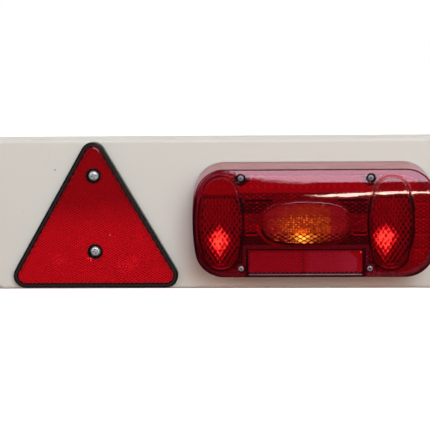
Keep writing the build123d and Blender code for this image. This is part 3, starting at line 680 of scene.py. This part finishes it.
def diamond_sheet(inside, height, cell, relief, floor=None):
    """Low four-sided prisms on a diamond lattice, cut to where inside(u, v) is positive."""
    columns = int(LAMP_WIDTH / cell[0]) + 2
    rows = int(LAMP_HEIGHT / cell[1]) + 2
    m, n = np.meshgrid(np.arange(-columns, columns + 1), np.arange(-rows, rows + 1), indexing="ij")
    middle = (m + n) % 2 == 0
    u, v = m * (cell[0] / 2), n * (cell[1] / 2)
    depth = inside(u, v)
    step = 0.05
    slope_u = (inside(u + step, v) - depth) / step
    slope_v = (inside(u, v + step) - depth) / step
    shift = np.where(depth < 0, -depth, 0.0) / np.maximum(slope_u**2 + slope_v**2, 0.25)
    u, v = u + shift * slope_u, v + shift * slope_v
    h = height(u, v) - max(relief, 0.0) + np.where(middle, relief, 0.0)
    points, triangles = cells(np.stack([u, v, h], axis=-1), middle & (depth > 0), DIAMOND)
    if floor is None:
        return closed_sheet(points, triangles, points[:, 2] - SHEET_THICKNESS - abs(relief))
    return closed_sheet(points, triangles, floor(points[:, 0], points[:, 1]))


def wall_inset(h):
    """How far the lens's drafted inner wall, less a gap, lies inside the lamp's outline at height h."""
    return LENS_WALL + SHEET_GAP + (h - FLANGE_TOP) * LENS_DRAFT


def inner_face(proud):
    """Height, as a function of place, of the inner face of the lens's front, less a gap."""
    return lambda u, v: crown(v, proud - LENS_WALL) - SHEET_GAP


def clear_of_bosses(room, u, v):
    for place in SCREW_POINTS:
        room = smaller(room, away(u, v, place) - (BOSS_RADIUS + SHEET_GAP))
    return room


def field_inside(u, v):
    """Room for the lens's inner face: inside the walls, clear of the screw bosses and the panel's seat."""
    room = clear_of_bosses(-lamp_edge(u, v, wall_inset(LAMP_DEPTH)), u, v)
    room = smaller(room, panel_edge(u, v, PANEL_SEAT + SHEET_GAP))
    return smaller(room, window_edge(u, v, WINDOW_MARGIN))


def field_height(u, v):
    """Seat of the field's cells under the lens's inner face, clear of the ribs."""
    seat = inner_face(0.0)(u, v)
    return choose(rise(u, RIB_START - 1.0, RIB_START), seat, smaller(seat, RIB_FOOT))


def lobe_inside(place):
    def inside(u, v):
        return clear_of_bosses(-lobe_edge(u, v, place, LENS_WALL + SHEET_GAP), u, v)
    return inside


def lobe_floor(u, v):
    return field_height(u, v) - LOBE_SINK


def window_inside(u, v):
    return -window_edge(u, v, LENS_WALL + WINDOW_FIT + SHEET_GAP)


def outline_points(inset, count=64):
    """Points round the lamp's outline, anticlockwise."""
    width, height = LAMP_WIDTH / 2 - inset, LAMP_HEIGHT / 2 - inset
    corner, bow = LAMP_CORNER - inset, LAMP_BOW - inset
    up = height - corner
    run = math.sqrt((bow - corner) ** 2 - up**2)
    corner_x = width - bow + run
    lean = math.atan2(up, run)
    quarter = [
        (width - bow + bow * math.cos(a), bow * math.sin(a))
        for a in np.linspace(0, lean, count // 4)
    ]
    quarter += [
        (corner_x + corner * math.cos(a), up + corner * math.sin(a))
        for a in np.linspace(lean, math.pi / 2, count // 2)[1:]
    ]
    quarter += [(x, height) for x in np.linspace(corner_x, 0, count // 4)[1:]]
    half = quarter + [(-x, y) for x, y in quarter[-2::-1]]
    return np.array(half + [(x, -y) for x, y in half[-2:0:-1]])


LINER_FOOT, LINER_ROWS = 11.3, 29
LINER_RIDGE, LINER_THICKNESS = 0.12, 0.4


def liner():
    """Ridged lining of the lens's side wall, from above the base to the edge of the optics."""
    rings = []
    top = inner_face(0.0)(*outline_points(wall_inset(LAMP_DEPTH)).T) - FIELD_RELIEF
    for row in list(range(LINER_ROWS)) + [LINER_ROWS - 1, 0]:
        h = LINER_FOOT + (top - LINER_FOOT) * row / (LINER_ROWS - 1)
        extra = LINER_RIDGE * (row % 2) if len(rings) < LINER_ROWS else LINER_THICKNESS
        rings.append(np.column_stack([outline_points(wall_inset(h.mean()) + extra), h]))
    return np.vstack(rings), ring_faces(len(rings[0]), len(rings), closed=True)


def lattice(u, v, cell):
    """A point's place in a diamond lattice: its slanted offsets from the cell's middle, and that middle."""
    a, b = u / cell[0] + v / cell[1], u / cell[0] - v / cell[1]
    a0, b0 = calc("ROUND", a), calc("ROUND", b)
    return size(a - a0), size(b - b0), (a0 + b0) * (cell[0] / 2), (a0 - b0) * (cell[1] / 2)


def optics(g, paint, glow=None):
    """Paint of the optics behind the lens, with an optional painted glow: the colour and strength of light
    that the paint gives off though the lamp is not lit.
    """
    return g.solid(paint, 0.35 + 0.2 * g.noise(300.0, 2.0), 0.02, glow)


def lens_red(g, red):
    return g.vector(red, red * 0.015 + 0.002, red * 0.06 + 0.004)


# Painted glow over the bulbs, standing in for light that the reflectors send back: middle, half width, and
# half height above and below the middle
GLOWS = (((-84.3, -12.8), 14.8, 17.5, 28.0), ((61.8, -10.0), 17.0, 15.5, 30.0))
# Foot of each lobe's plain cap, and the pitch of the rays below it and of the dots along it
CAP_FOOT, RAY_PITCH, CAP_DOT_PITCH = 27.0, 2.1, 4.2


def lobe_paint():
    """Red of the lobes' cells: dark pits between bright lines, with a painted glow, a lit diamond, over each
    bulb.
    """
    g = Graph("lobe_paint")
    u, v = g.on(LAMP)
    da, db, mid_u, mid_v = lattice(u, v, LOBE_CELL)
    roll = g.dice(mid_u, mid_v)
    pit = rise(1.0 - 2.0 * larger(da, db), 0.10, 0.60)
    node = 2.0 * smaller(da, db)
    edge = lobes_edge(u, v)

    glow, outward = 0.0, 0.0
    for (middle_u, middle_v), half_u, half_up, half_down in GLOWS:
        above = more(v, middle_v)
        far_u, far_v = size(u - middle_u) / half_u, size(v - middle_v) / choose(above, half_down, half_up)
        far = 0.6 * (far_u + far_v) + 0.4 * span(far_u, far_v)
        near = rise(size(u - middle_u), 30.0, 29.0)
        glow = larger(glow, rise(far, 1.05, 0.15))
        outward = outward + near * (u - middle_u)
    stripes = choose(more(outward, 0.0), 1.0 - 2.0 * da, 1.0 - 2.0 * db)
    low = rise(v, -17.0, -25.0)
    pit = choose(0.65 * low, pit, rise(stripes, 0.15, 0.75))

    fan = outward / (1.0 + 0.012 * (v - GLOWS[0][0][1]))
    ray = zigzag(fan + 1.6 * g.noise(90.0, 1.0), RAY_PITCH)
    streak = ray * (0.4 + 1.2 * g.noise(160.0, 2.0))
    cap = rise(v, CAP_FOOT - 0.6, CAP_FOOT + 0.6)
    sides = rise(size(outward), 9.0, 15.0)
    depth = choose(rise(v, 4.0, -6.0), choose(sides, 0.35, 0.80), 0.88) * (0.75 + 0.5 * roll)
    tone = choose(cap, 0.148 + 0.08 * rise(streak, 0.35, 1.0), 0.205)
    tone = dim(tone, smaller(depth, 1.0) * pit * (1.0 - cap))
    tone = tone + 0.05 * rise(node, 0.5, 0.9) * rise(v, 4.0, -4.0)
    tone = dim(tone, 0.5 * band(v, CAP_FOOT - 2.2, 1.0, 1.2))
    dots = band(v, CAP_FOOT + 1.6, 0.3, 1.1) * rise(zigzag(u, CAP_DOT_PITCH), 0.55, 0.9)
    tone = tone + 0.07 * dots
    shaded = choose(rise(u, 72.0, 78.0), 0.45, 0.72)
    tone = dim(tone, shaded * rise(edge, -5.2, -3.4) * rise(v, 30.0, 24.0))
    lip = band(edge, -4.2, 0.7, 0.6) * rise(v, -34.0, -37.5)
    tone = choose(lip, tone, 0.30)

    # Painted glow: the cells over each bulb are made lighter and give off light of their own.
    mottle = 0.55 + 0.85 * rise(g.noise(420.0, 2.0), 0.3, 0.7)
    sparkle = rise(node, 0.35, 0.85) * rise(glow, 0.02, 0.30) * (0.2 + 0.8 * roll)
    lit = rise(glow * mottle + 0.36 * sparkle - 0.50 * pit, 0.06, 1.02)
    red = choose(lit, choose(glow * glow, tone, 0.60), 0.90)
    heat = lit * (0.35 + 0.65 * glow)
    light = g.vector(1.0, 0.05 + 0.50 * heat, 0.04 + 0.19 * heat)
    return optics(g, lens_red(g, red), (light, lit * lit * 0.60))


# Painted shade of inner partitions beside the window, as dark bars: middle and half size
BARS = (
    ((-49.6, 21.0), (12.0, 1.0)),
    ((33.0, 21.0), (12.7, 1.0)),
    ((-55.9, -8.0), (4.9, 0.9)),
    ((39.9, -8.0), (5.3, 0.9)),
)
# Drop of the painted highlight lines under the lower bars, foot of the top strip, its dots, start of the
# outboard strip, and reach of the bright corner round the window
UNDER_BAR, STRIP_FOOT = 1.7, 28.0
DOT_ROW, DOT_PITCH, DOT_START = 33.2, 6.1, 2.0
OUTBOARD, CORNER_REACH = 88.0, (41.0, 21.0)


def field_paint():
    """Red of the lens between its lobes: a plain strip on top, dark cells beside window and panel."""
    g = Graph("field_paint")
    u, v = g.on(LAMP)
    da, db, mid_u, mid_v = lattice(u, v, FIELD_CELL)
    roll = g.dice(mid_u, mid_v)
    middle = rise(1.0 - 2.0 * larger(da, db), 0.25, 0.65)
    edge = lobes_edge(u, v)
    window, panel, rim = window_edge(u, v), panel_edge(u, v), lamp_edge(u, v)

    top = rise(v, STRIP_FOOT - 0.6, STRIP_FOOT + 0.6)
    honeycomb = band(v, 18.7, 8.8, 1.2)
    foot = rise(v, -8.5, -10.5)
    over = rise(v, 18.4, 19.4)
    ground = choose(honeycomb, choose(foot, 0.090, 0.010), choose(over, 0.011, 0.070))
    spot = choose(honeycomb, choose(foot, 0.170, 0.042), choose(over, 0.080, 0.155)) * (0.4 + 1.2 * roll)
    plain = 0.13 + 0.05 * middle
    between = rise(u, -67.0, -65.5) * rise(u, 50.0, 48.5)
    tone = choose(between, plain, choose(middle, ground, spot))
    tone = choose(top, tone, 0.235)
    for place, half in BARS:
        tone = dim(tone, 0.95 * patch(u, v, place, half, 0.4))
    for (x, z), half in BARS[2:]:
        tone = tone + 0.22 * patch(u, v, (x, z - UNDER_BAR), (half[0], 0.4), 0.4)

    outboard = rise(u, OUTBOARD - 0.6, OUTBOARD + 0.6)
    strip = 0.135 + 0.14 * middle * (0.5 + roll)
    for row in RIB_ROWS:
        strip = strip + 0.11 * band(v, row - 0.4, 0.4, 0.7) - 0.05 * band(v, row + 1.2, 0.4, 0.7)
    tone = choose(outboard, tone, strip)

    low = rise(v, 28.0, 22.0)
    inboard = rise(u, LOBES[0][0] - 2.0, LOBES[0][0] + 2.0) * (1.0 - band(u, LOBES[1][0] - 12.0, 12.0, 2.0))
    thick = 0.8 * inboard * larger(band(v, 17.0, 6.0, 1.0), band(v, -13.5, 8.5, 1.0))
    thick = thick + 0.5 * rise(u, 72.0, 78.0) * band(v, 2.0, 20.0, 6.0) + 0.5 * rise(v, -28.0, -36.0)
    drop = 1.9 * rise(v, -22.0, -36.0)
    # Painted shade along the lobes' outlines.
    tone = dim(tone, 0.92 * rise(size(edge + 0.5 - drop) - thick, 1.1, 0.6) * low)
    arc = band(edge, -0.9, 0.5, 0.5) * rise(v, -36.0, -38.5)
    tone = tone + 0.16 * arc
    tone = dim(tone, 0.35 * band(edge, -0.9, 1.1, 0.7))
    # Painted shade round the panel's recess.
    tone = dim(tone, 0.9 * band(panel, 1.6, 1.2, 0.6))
    tone = choose(band(window, -2.4, 2.6, 0.5), tone, 0.105)
    # Painted shade under the raised window's lower side.
    low_side = rise(v - WINDOW_CENTRE[1], -3.0, -7.0) * choose(rise(u, -22.0, 4.0), 1.0, 0.55)
    tone = dim(tone, 0.93 * band(window, -1.4, 0.8, 0.5) * low_side)
    across = (u - WINDOW_CENTRE[0]) / CORNER_REACH[0]
    up = (v - WINDOW_CENTRE[1]) / CORNER_REACH[1]
    corner = rise(-0.8 * across - 0.6 * up, 0.80, 0.94)
    tone = tone + 0.15 * band(window, 1.2, 0.5, 0.4) * corner
    dots = rise(zigzag(u - DOT_START, DOT_PITCH), 0.45, 0.8) * band(v, DOT_ROW, 0.6, 1.8)
    tone = tone + 0.10 * dots * rise(edge, 0.5, 1.5)
    wall = rise(rim, -6.2, -5.4)
    tone = choose(wall, tone, 0.20)
    return optics(g, lens_red(g, tone * (0.85 + 0.3 * g.noise(60.0))))


# Amber and painted glow in the window: where its amber ends, middle and half size of each patch, and sizes of
# grain and flecks
AMBER_EDGE = 13.4
WASH = ((-8.0, -1.0), (29.0, 25.0))
EMBER = ((-12.0, -7.0), (6.5, 3.6))
HOT = ((-10.5, -12.8), (13.0, 6.2))
STREAK = ((-36.2, -14.9), (3.6, 1.0))
GRAIN, FLECK = (1.3, 1.1), (2.3, 2.0)


def window_paint():
    """Colour of the window's cells: red, with an amber wash and bright cells of painted glow over the bulb.
    """
    g = Graph("window_paint")
    u, v = g.on(LAMP)
    da, db, mid_u, mid_v = lattice(u, v, WINDOW_CELL)
    roll = g.dice(mid_u, mid_v)
    speck = g.dice(calc("ROUND", u / GRAIN[0]), calc("ROUND", v / GRAIN[1]))
    middle = rise(1.0 - 2.0 * larger(da, db), 0.1, 0.6)
    node = rise(2.0 * smaller(da, db), 0.15, 0.65)
    edge = window_edge(u, v)

    def near(u, v, spot):
        return span((u - spot[0][0]) / spot[1][0], (v - spot[0][1]) / spot[1][1])

    cut = rise(u, AMBER_EDGE + 0.7, AMBER_EDGE - 0.7)
    wash = rise(near(u, v, WASH) + 0.3 * (roll - 0.5), 1.15, 0.45)
    wash = wash * choose(rise(v, 6.2, 7.4), 1.0, 0.5) * choose(cut, 0.22, 1.0)
    ember = rise(near(u, v, EMBER), 1.3, 0.4)
    bright = rise(1.0 - 2.0 * larger(da, db), 0.12, 0.42)
    hot = rise(near(mid_u, mid_v, HOT) + 0.5 * (roll - 0.5), 1.0, 0.20) * bright
    fleck_u, fleck_v = u / FLECK[0], v / FLECK[1]
    mid_fleck_u, mid_fleck_v = calc("ROUND", fleck_u), calc("ROUND", fleck_v)
    chance = g.dice(mid_fleck_u, mid_fleck_v)
    off_u, off_v = fleck_u - mid_fleck_u + 0.5 * (chance - 0.5), fleck_v - mid_fleck_v
    flecks = rise(span(off_u, off_v), 0.45, 0.18) * rise(chance, 0.40, 0.75) * rise(wash, 0.0, 0.6)
    flecks = flecks * (0.25 + 0.75 * rise(size(u - EMBER[0][0]), 17.0, 6.0)) * rise(v, 11.0, 5.0)
    low = rise(v, -7.0, -9.0)

    grain = choose(rise(v, 6.2, 7.4), 0.62 + 0.76 * speck, 0.84 + 0.32 * speck)
    shade = grain * choose(low, 0.95 + 0.10 * middle, 0.68 + 0.90 * middle)
    shade = dim(dim(shade, 0.90 * node * low), 0.35 * band(v, 6.7, 0.3, 0.4))
    shade = dim(shade, 0.45 * rise(edge, -9.0, -3.0) * rise(v, 10.0, 2.0))
    red = (0.195 + 0.100 * wash + 0.45 * ember) * shade
    green = (0.006 + 0.064 * wash + 0.16 * ember) * shade
    blue = (0.060 - 0.025 * wash - 0.025 * ember) * shade
    paint = g.vector(red, green, blue)
    paint = g.mix(flecks, paint, (0.95, 0.36, 0.18))
    paint = g.mix(patch(u, v, *STREAK, 0.8) * 0.8, paint, (0.65, 0.20, 0.08))
    # The hot cells and the ember are painted glow, with light of their own.
    paint = g.mix(hot, paint, (0.95, 0.80, 0.25))
    light = g.mix(hot, (1.0, 0.30, 0.02), (1.0, 0.80, 0.25))
    return optics(g, paint, (light, hot * hot * 1.35 + ember * shade * 0.04))


# Prism plates of the triangle and of the lamp's panel
TRIANGLE_PITCH, TRIANGLE_RELIEF = 2.26, 0.6
PANEL_PITCH, PANEL_RELIEF = 2.35, 0.45
PANEL_SEAM, SEAM_GAP = -2.3, 0.15
PANEL_FOOT, PANEL_MARGIN = 2.1, 1.6
PRISM_SINK, PRISM_MARGIN, CUP_OVERLAP = 0.15, 0.3, 0.4
HEXAGON = ((1, 0), (0, 1), (-1, 1), (-1, 0), (0, -1), (1, -1))


def cube_corners(inside, pitch, relief, reach, face):
    """Retroreflecting cube corners in upright columns, whole cells only, standing on a flat face."""
    step = pitch / math.sqrt(3)
    count = int(2.0 * reach / step)
    i, j = np.meshgrid(np.arange(-count, count + 1), np.arange(-count, count + 1), indexing="ij")
    u, v = step * (i + 0.5 * j), step * (math.sqrt(3) / 2) * j
    level = (i - j) % 3
    points = np.stack([u, v, face + relief * (0.15 + level / 2)], axis=-1)
    points, triangles = cells(points, (level == 0) & (inside(u, v) > 0), HEXAGON)
    return closed_sheet(points, triangles, face - PRISM_SINK)


def triangle_inside(u, v):
    room = -triangle_edge(u, v, TRIANGLE_BORDER) - PRISM_MARGIN
    for place in TRIANGLE_SCREWS:
        room = smaller(room, away(u, v, place) - CUP_RADIUS + CUP_OVERLAP)
    return room


def clear_of_cups(shape):
    """The triangle's prisms with the points that fall within a screw cup moved out to its wall."""
    points, faces = shape
    points = points.copy()
    for x, z in TRIANGLE_SCREWS:
        u, v = points[:, 0] - x, points[:, 1] - z
        grow = np.maximum(CUP_WALL / np.maximum(span(u, v), 1e-6), 1.0)
        points[:, 0], points[:, 1] = x + u * grow, z + v * grow
    return points, faces


def panel_half(side):
    """Room for the prisms of the panel's left (-1) or right (1) half, along that half's own columns."""
    def inside(u, v):
        across = side * u
        room = smaller(PANEL_SIZE[0] / 2 - size(across), PANEL_SIZE[1] / 2 - v) - PANEL_MARGIN
        room = smaller(room, v + PANEL_SIZE[1] / 2 - PANEL_FOOT - PANEL_PITCH / 2)
        return smaller(room, side * (across - PANEL_SEAM) - PANEL_PITCH / 2 - SEAM_GAP)
    return inside


# Lean of the direction from which the facets' painted light falls, across and up
FACET_LEAN = (0.5, 0.866)
# Deep red end of the panel: a point on its slanted edge, that edge's lean, and where its upright edge stands
PANEL_SLANT, PANEL_SLANT_LEAN, PANEL_UPRIGHT = (590.2, -26.0), (0.729, 0.684), 597.6
# Colours of the panel's painted sheen and of its deep red end
PANEL_SHEEN, PANEL_DEEP = (1.0, 0.16, 0.36), (0.24, 0.001, 0.003)

# Cells with a painted glint: place, radius and colour
GLINTS = (
    ((353.8, -39.6), 1.1, (1.00, 0.02, 0.05)),
    ((356.9, -39.2), 1.2, (1.00, 0.10, 0.16)),
    ((356.4, -41.3), 1.1, (1.00, 0.02, 0.03)),
    ((374.4, -17.7), 1.0, (0.55, 0.09, 0.11)),
    ((601.0, -27.6), 1.1, (1.00, 0.06, 0.10)),
    ((600.8, -45.4), 1.0, (0.75, 0.14, 0.20)),
    ((590.4, -26.9), 0.9, (0.80, 0.01, 0.02)),
)
# Places where the triangle's cells get a painted sparkle, and the radius and colour of that sparkle
SPARKLE_PLACES, SPARKLE_RADIUS = ((326.6, -41.0), (394.5, -44.0), (385.5, -47.0)), 9.0
SPARKLE_RED = (0.85, 0.012, 0.025)


def prism_paint(name, tones, fall, pitch, seam=None, chill=0.018):
    """Red prisms: a facet's tone is painted light and shade from the way it faces, deeper towards the top,
    with a few painted glints.
    """
    g = Graph(name)
    x, _, z = g.place()
    far = size(x)
    hand = choose(more(x, 0.0), -1.0, 1.0)
    if seam is not None:
        hand = hand * choose(more(far, seam), -1.0, 1.0)
    across, out, up = g.split(g.add("NewGeometry", output="True Normal"))
    # Painted light and shade: facets that lean towards FACET_LEAN are lighter, the others darker.
    facing = FACET_LEAN[0] * hand * across + FACET_LEAN[1] * up - 0.3 * out
    tone = choose(rise(facing, -0.25, 0.75), *tones)
    slanted = FACET_LEAN[0] * hand * (far - TRIANGLE[0]) + FACET_LEAN[1] * (z - TRIANGLE[1])
    tone = tone * (0.70 + 0.60 * zigzag(slanted, pitch * math.sqrt(3) / 2))
    patchy = g.noise(25.0)
    tone = tone * prism_fall(z + 26.0 * (patchy - 0.5), *fall) * (0.90 + 0.20 * patchy)
    red = g.vector(tone, tone * 0.006, tone * chill)
    if seam is not None:
        # Painted sheen on the panel's outboard half, kept off its deep red end.
        pale = 0.018 * rise(far, seam, seam + 8.0) + 0.025 * rise(far, seam + 25.0, seam + 46.0)
        past_u, past_v = far - PANEL_SLANT[0], z - PANEL_SLANT[1]
        slant = PANEL_SLANT_LEAN[0] * past_u + PANEL_SLANT_LEAN[1] * past_v
        end = larger(rise(far, PANEL_UPRIGHT - 0.4, PANEL_UPRIGHT + 0.4), rise(slant, -0.3, 0.3))
        red = g.mix(pale * (1.0 - end), red, PANEL_SHEEN)
        red = g.mix(0.7 * end, red, PANEL_DEEP)
    speck = 0.42 * rise(g.noise(900.0, 1.0), 0.48, 0.62)
    # Painted sparkle on cells near these places.
    for place in SPARKLE_PLACES:
        near = rise(away(far, z, place), SPARKLE_RADIUS, SPARKLE_RADIUS * 0.3)
        red = g.mix(speck * near, red, SPARKLE_RED)
    for place, radius, shine in GLINTS:
        red = g.mix(rise(away(far, z, place), radius, radius * 0.4), red, shine)
    return g.solid(red, 0.45 + 0.1 * g.noise(200.0, 2.0), 0.02)


def rounded_bar(length, radius, centre, sides=12):
    """A slim bar with a round section and round ends, lying along the board."""
    stations = [-1.0, -0.985, -0.97, 0.97, 0.985, 1.0]
    shares = [0.35, 0.8, 1.0, 1.0, 0.8, 0.35]
    angles = [2 * math.pi * k / sides for k in range(sides)]
    points = []
    for at, share in zip(stations, shares):
        x, reach = centre[0] + length / 2 * at, radius * share
        points += [(x, centre[1] + reach * math.cos(a), centre[2] + reach * math.sin(a)) for a in angles]
    faces = ring_faces(sides, len(stations))
    faces.append(tuple(range(sides))[::-1])
    faces.append(tuple((len(stations) - 1) * sides + k for k in range(sides)))
    return np.array(points), [face[::-1] for face in faces]


PANEL = (LAMP[0] + PANEL_CENTRE[0], LAMP[1] + PANEL_CENTRE[1])
PANEL_FALL, PANEL_CHILL = (-45.0, -20.0, 0.9), 0.030
TRIANGLE_REACH, PANEL_REACH = 100.0, 60.0
SILL_RADIUS, SILL_SHORT, SILL_UP, SILL_OUT = 0.6, 1.0, 0.8, 0.4
lobe_shapes = [
    diamond_sheet(lobe_inside(place), inner_face(LOBE_PROUD), LOBE_CELL, LOBE_RELIEF, lobe_floor)
    for place in LOBES
]
field_shape = joined(diamond_sheet(field_inside, field_height, FIELD_CELL, FIELD_RELIEF), liner())
window_shape = diamond_sheet(window_inside, inner_face(WINDOW_PROUD), WINDOW_CELL, WINDOW_RELIEF)
triangle_shape = clear_of_cups(
    cube_corners(triangle_inside, TRIANGLE_PITCH, TRIANGLE_RELIEF, TRIANGLE_REACH, TRIANGLE_FACE)
)
panel_shape = joined(
    mirrored(cube_corners(panel_half(-1), PANEL_PITCH, PANEL_RELIEF, PANEL_REACH, PANEL_FACE)),
    cube_corners(panel_half(1), PANEL_PITCH, PANEL_RELIEF, PANEL_REACH, PANEL_FACE),
)
sill_place = (0.0, SILL_UP - PANEL_SIZE[1] / 2, PANEL_FACE + SILL_OUT)
sill_shape = rounded_bar(PANEL_SIZE[0] - SILL_SHORT, SILL_RADIUS, sill_place)

lobe_look, field_look, window_look = lobe_paint(), field_paint(), window_paint()
triangle_look = prism_paint("triangle_prisms", (0.25, 0.50), TRIANGLE_FALL, TRIANGLE_PITCH)
panel_look = prism_paint(
    "panel_prisms", (0.100, 0.290), PANEL_FALL, PANEL_PITCH, PANEL[0] + PANEL_SEAM, PANEL_CHILL)
sill_look = moulded("panel_sill", (0.078, 0.050, 0.064), (0.115, 0.076, 0.096), 0.20, 800.0, 0.05)

for side in SIDES:
    add_piece("lobe_optics", side, joined(*lobe_shapes), lobe_look)
    add_piece("lens_optics", side, field_shape, field_look)
    add_piece("window_optics", side, window_shape, window_look)
    add_piece("triangle_prisms", side, triangle_shape, triangle_look, TRIANGLE)
    add_piece("panel_prisms", side, panel_shape, panel_look, PANEL)
    add_piece("panel_sill", side, sill_shape, sill_look, PANEL, smooth=True)


# Camera: a point that it looks at, how far it turns right of the front and up, its distance and its roll
VIEW_TARGET, VIEW_DISTANCE = Vector((0.4707, -0.028, -0.00045)), 1.170
VIEW_AZIMUTH, VIEW_ELEVATION, VIEW_ROLL = math.radians(1.75), math.radians(9.3), math.radians(-0.511)
VIEW_LENS = 106.84

camera_data = bpy.data.cameras.new("camera")
camera_data.lens = VIEW_LENS
camera = bpy.data.objects.new("camera", camera_data)
bpy.context.scene.collection.objects.link(camera)
turn = Matrix.Rotation(VIEW_AZIMUTH, 4, "Z") @ Matrix.Rotation(math.pi / 2 - VIEW_ELEVATION, 4, "X")
turn = turn @ Matrix.Rotation(VIEW_ROLL, 4, "Z")
camera.matrix_world = Matrix.Translation(VIEW_TARGET) @ turn @ Matrix.Translation((0.0, 0.0, VIEW_DISTANCE))
bpy.context.scene.camera = camera
bpy.context.scene.view_settings.view_transform = "Standard"

# World: white behind the object, dim overhead and on the viewer's side, so that clear red stays deep
FILL, FILL_TINT, LOW_TINT = 0.47, (1.0, 0.70, 0.60), (0.54, 0.24, 0.18)
BACK_LEVEL = {"From Min": 0.35, "From Max": 0.85, "To Min": 0.03, "To Max": 1.0}
TINT_RISE = {"From Min": -0.5, "From Max": 0.1}
WHITE = (1.0, 1.0, 1.0)


def studio():
    """The world's light, told apart by the kind of ray that meets it."""
    g = Graph("studio", bpy.data.worlds)

    def ray(kind):
        return g.add("LightPath", output=f"Is {kind} Ray")

    _, back, up = g.split(g.add("TexCoord", output="Generated"))
    behind = g.add("MapRange", {"Value": back, **BACK_LEVEL}, interpolation_type="SMOOTHSTEP")
    level = g.add("Mix", {0: ray("Glossy"), 2: FILL, 3: behind})
    for kind in ("Transmission", "Camera"):
        level = g.add("Mix", {0: ray(kind), 2: level, 3: 1.0})
    fill = g.mix(g.add("MapRange", {"Value": up, **TINT_RISE}), LOW_TINT, FILL_TINT)
    tint = g.mix(ray("Diffuse"), WHITE, fill)
    return g.finish(g.add("Background", {"Color": tint, "Strength": level}), "World")


bpy.context.scene.world = studio()


# Stage: a pale floor below and behind the board, and sheets of light that the camera doesn't see
def stage_sheet(name, corners, material):
    mesh = bpy.data.meshes.new(name)
    mesh.from_pydata([Vector(c) for c in corners], [], [list(range(len(corners)))])
    mesh.materials.append(material)
    sheet = bpy.data.objects.new(name, mesh)
    bpy.context.scene.collection.objects.link(sheet)
    return sheet


def rectangle(low, high):
    return [low, (high[0], low[1]), high, (low[0], high[1])]


def upright(outline, y):
    return [(x, y, z) for x, z in outline]


def level(outline, z):
    return [(x, y, z) for x, y in outline]


def floor_paint():
    """Pale grey that is white to the camera apart from shadows, and clear from below."""
    g = Graph("floor_paint")
    shade = g.mix(g.noise(2.0, 2.0), (0.80, 0.80, 0.80), (0.82, 0.82, 0.82))
    seen = Field(g, g.add("LightPath", output="Is Camera Ray"))
    glow = g.add("Emission", {"Color": WHITE, "Strength": seen * 0.8})
    top = g.add("AddShader", {0: g.add("BsdfDiffuse", {"Color": shade}), 1: glow})
    below = g.add("NewGeometry", output="Backfacing")
    clear = g.add("BsdfTransparent", {"Color": WHITE})
    return g.finish(g.add("MixShader", {0: below, 1: top, 2: clear}))


FLOOR_Z, FLOOR_REACH, FLOOR_FRONT = -0.6, 9.0, 0.25
FLOOR = rectangle((-FLOOR_REACH, FLOOR_FRONT), (FLOOR_REACH, FLOOR_REACH))
stage_sheet("floor", level(FLOOR, FLOOR_Z), floor_paint())

# Outlines of the lights in metres; the soft edge runs along the softbox's lower left side
FRONT_PLANE, BACK_PLANE, OVERHEAD_PLANE = -2.93, 3.2, 3.0
SOFT_SIDE = [(0.462, 0.81), (0.50, 0.755), (0.584, 0.674)]
SOFTBOX = [(0.671, 0.62), (2.1, 0.62), (2.1, 3.1), (0.40, 3.1), (0.425, 0.95), *SOFT_SIDE]
SOFT_EDGE = [(0.44, 0.80), (0.584, 0.60), (0.671, 0.575), (0.671, 0.62), *SOFT_SIDE[::-1]]
SIDE_FILL = rectangle((-3.1, 1.0), (-0.2, 3.6))
TUBE = [
    (0.672, 0.276), (0.70, 0.262), (0.74, 0.252), (0.80, 0.264), (0.90, 0.296), (0.964, 0.302),
    (2.9, 0.350), (2.9, 0.418), (0.964, 0.366), (0.85, 0.345), (0.76, 0.318), (0.71, 0.288),
]
BACK_FILL = rectangle((-1.8, 0.9), (1.8, 3.0))
OVERHEAD = rectangle((-1.5, -1.6), (2.2, 1.2))
LIGHTS = {
    "softbox": (upright(SOFTBOX, FRONT_PLANE), (0.90, 1.0, 1.03), 8.1),
    "soft_edge": (upright(SOFT_EDGE, FRONT_PLANE), (0.91, 1.0, 1.0), 2.6),
    "side_fill": (upright(SIDE_FILL, FRONT_PLANE), (0.97, 1.0, 1.0), 2.4),
    "tube": (upright(TUBE, FRONT_PLANE), (1.0, 0.97, 0.66), 31.0),
    "back_fill": (upright(BACK_FILL, BACK_PLANE), WHITE, 2.6),
    "overhead": (level(OVERHEAD, OVERHEAD_PLANE), (1.0, 0.97, 0.93), 0.6),
}
for name, (corners, tone, strength) in LIGHTS.items():
    g = Graph(f"{name}_light")
    light = g.finish(g.add("Emission", {"Color": tone, "Strength": strength}))
    stage_sheet(name, corners, light).visible_camera = False
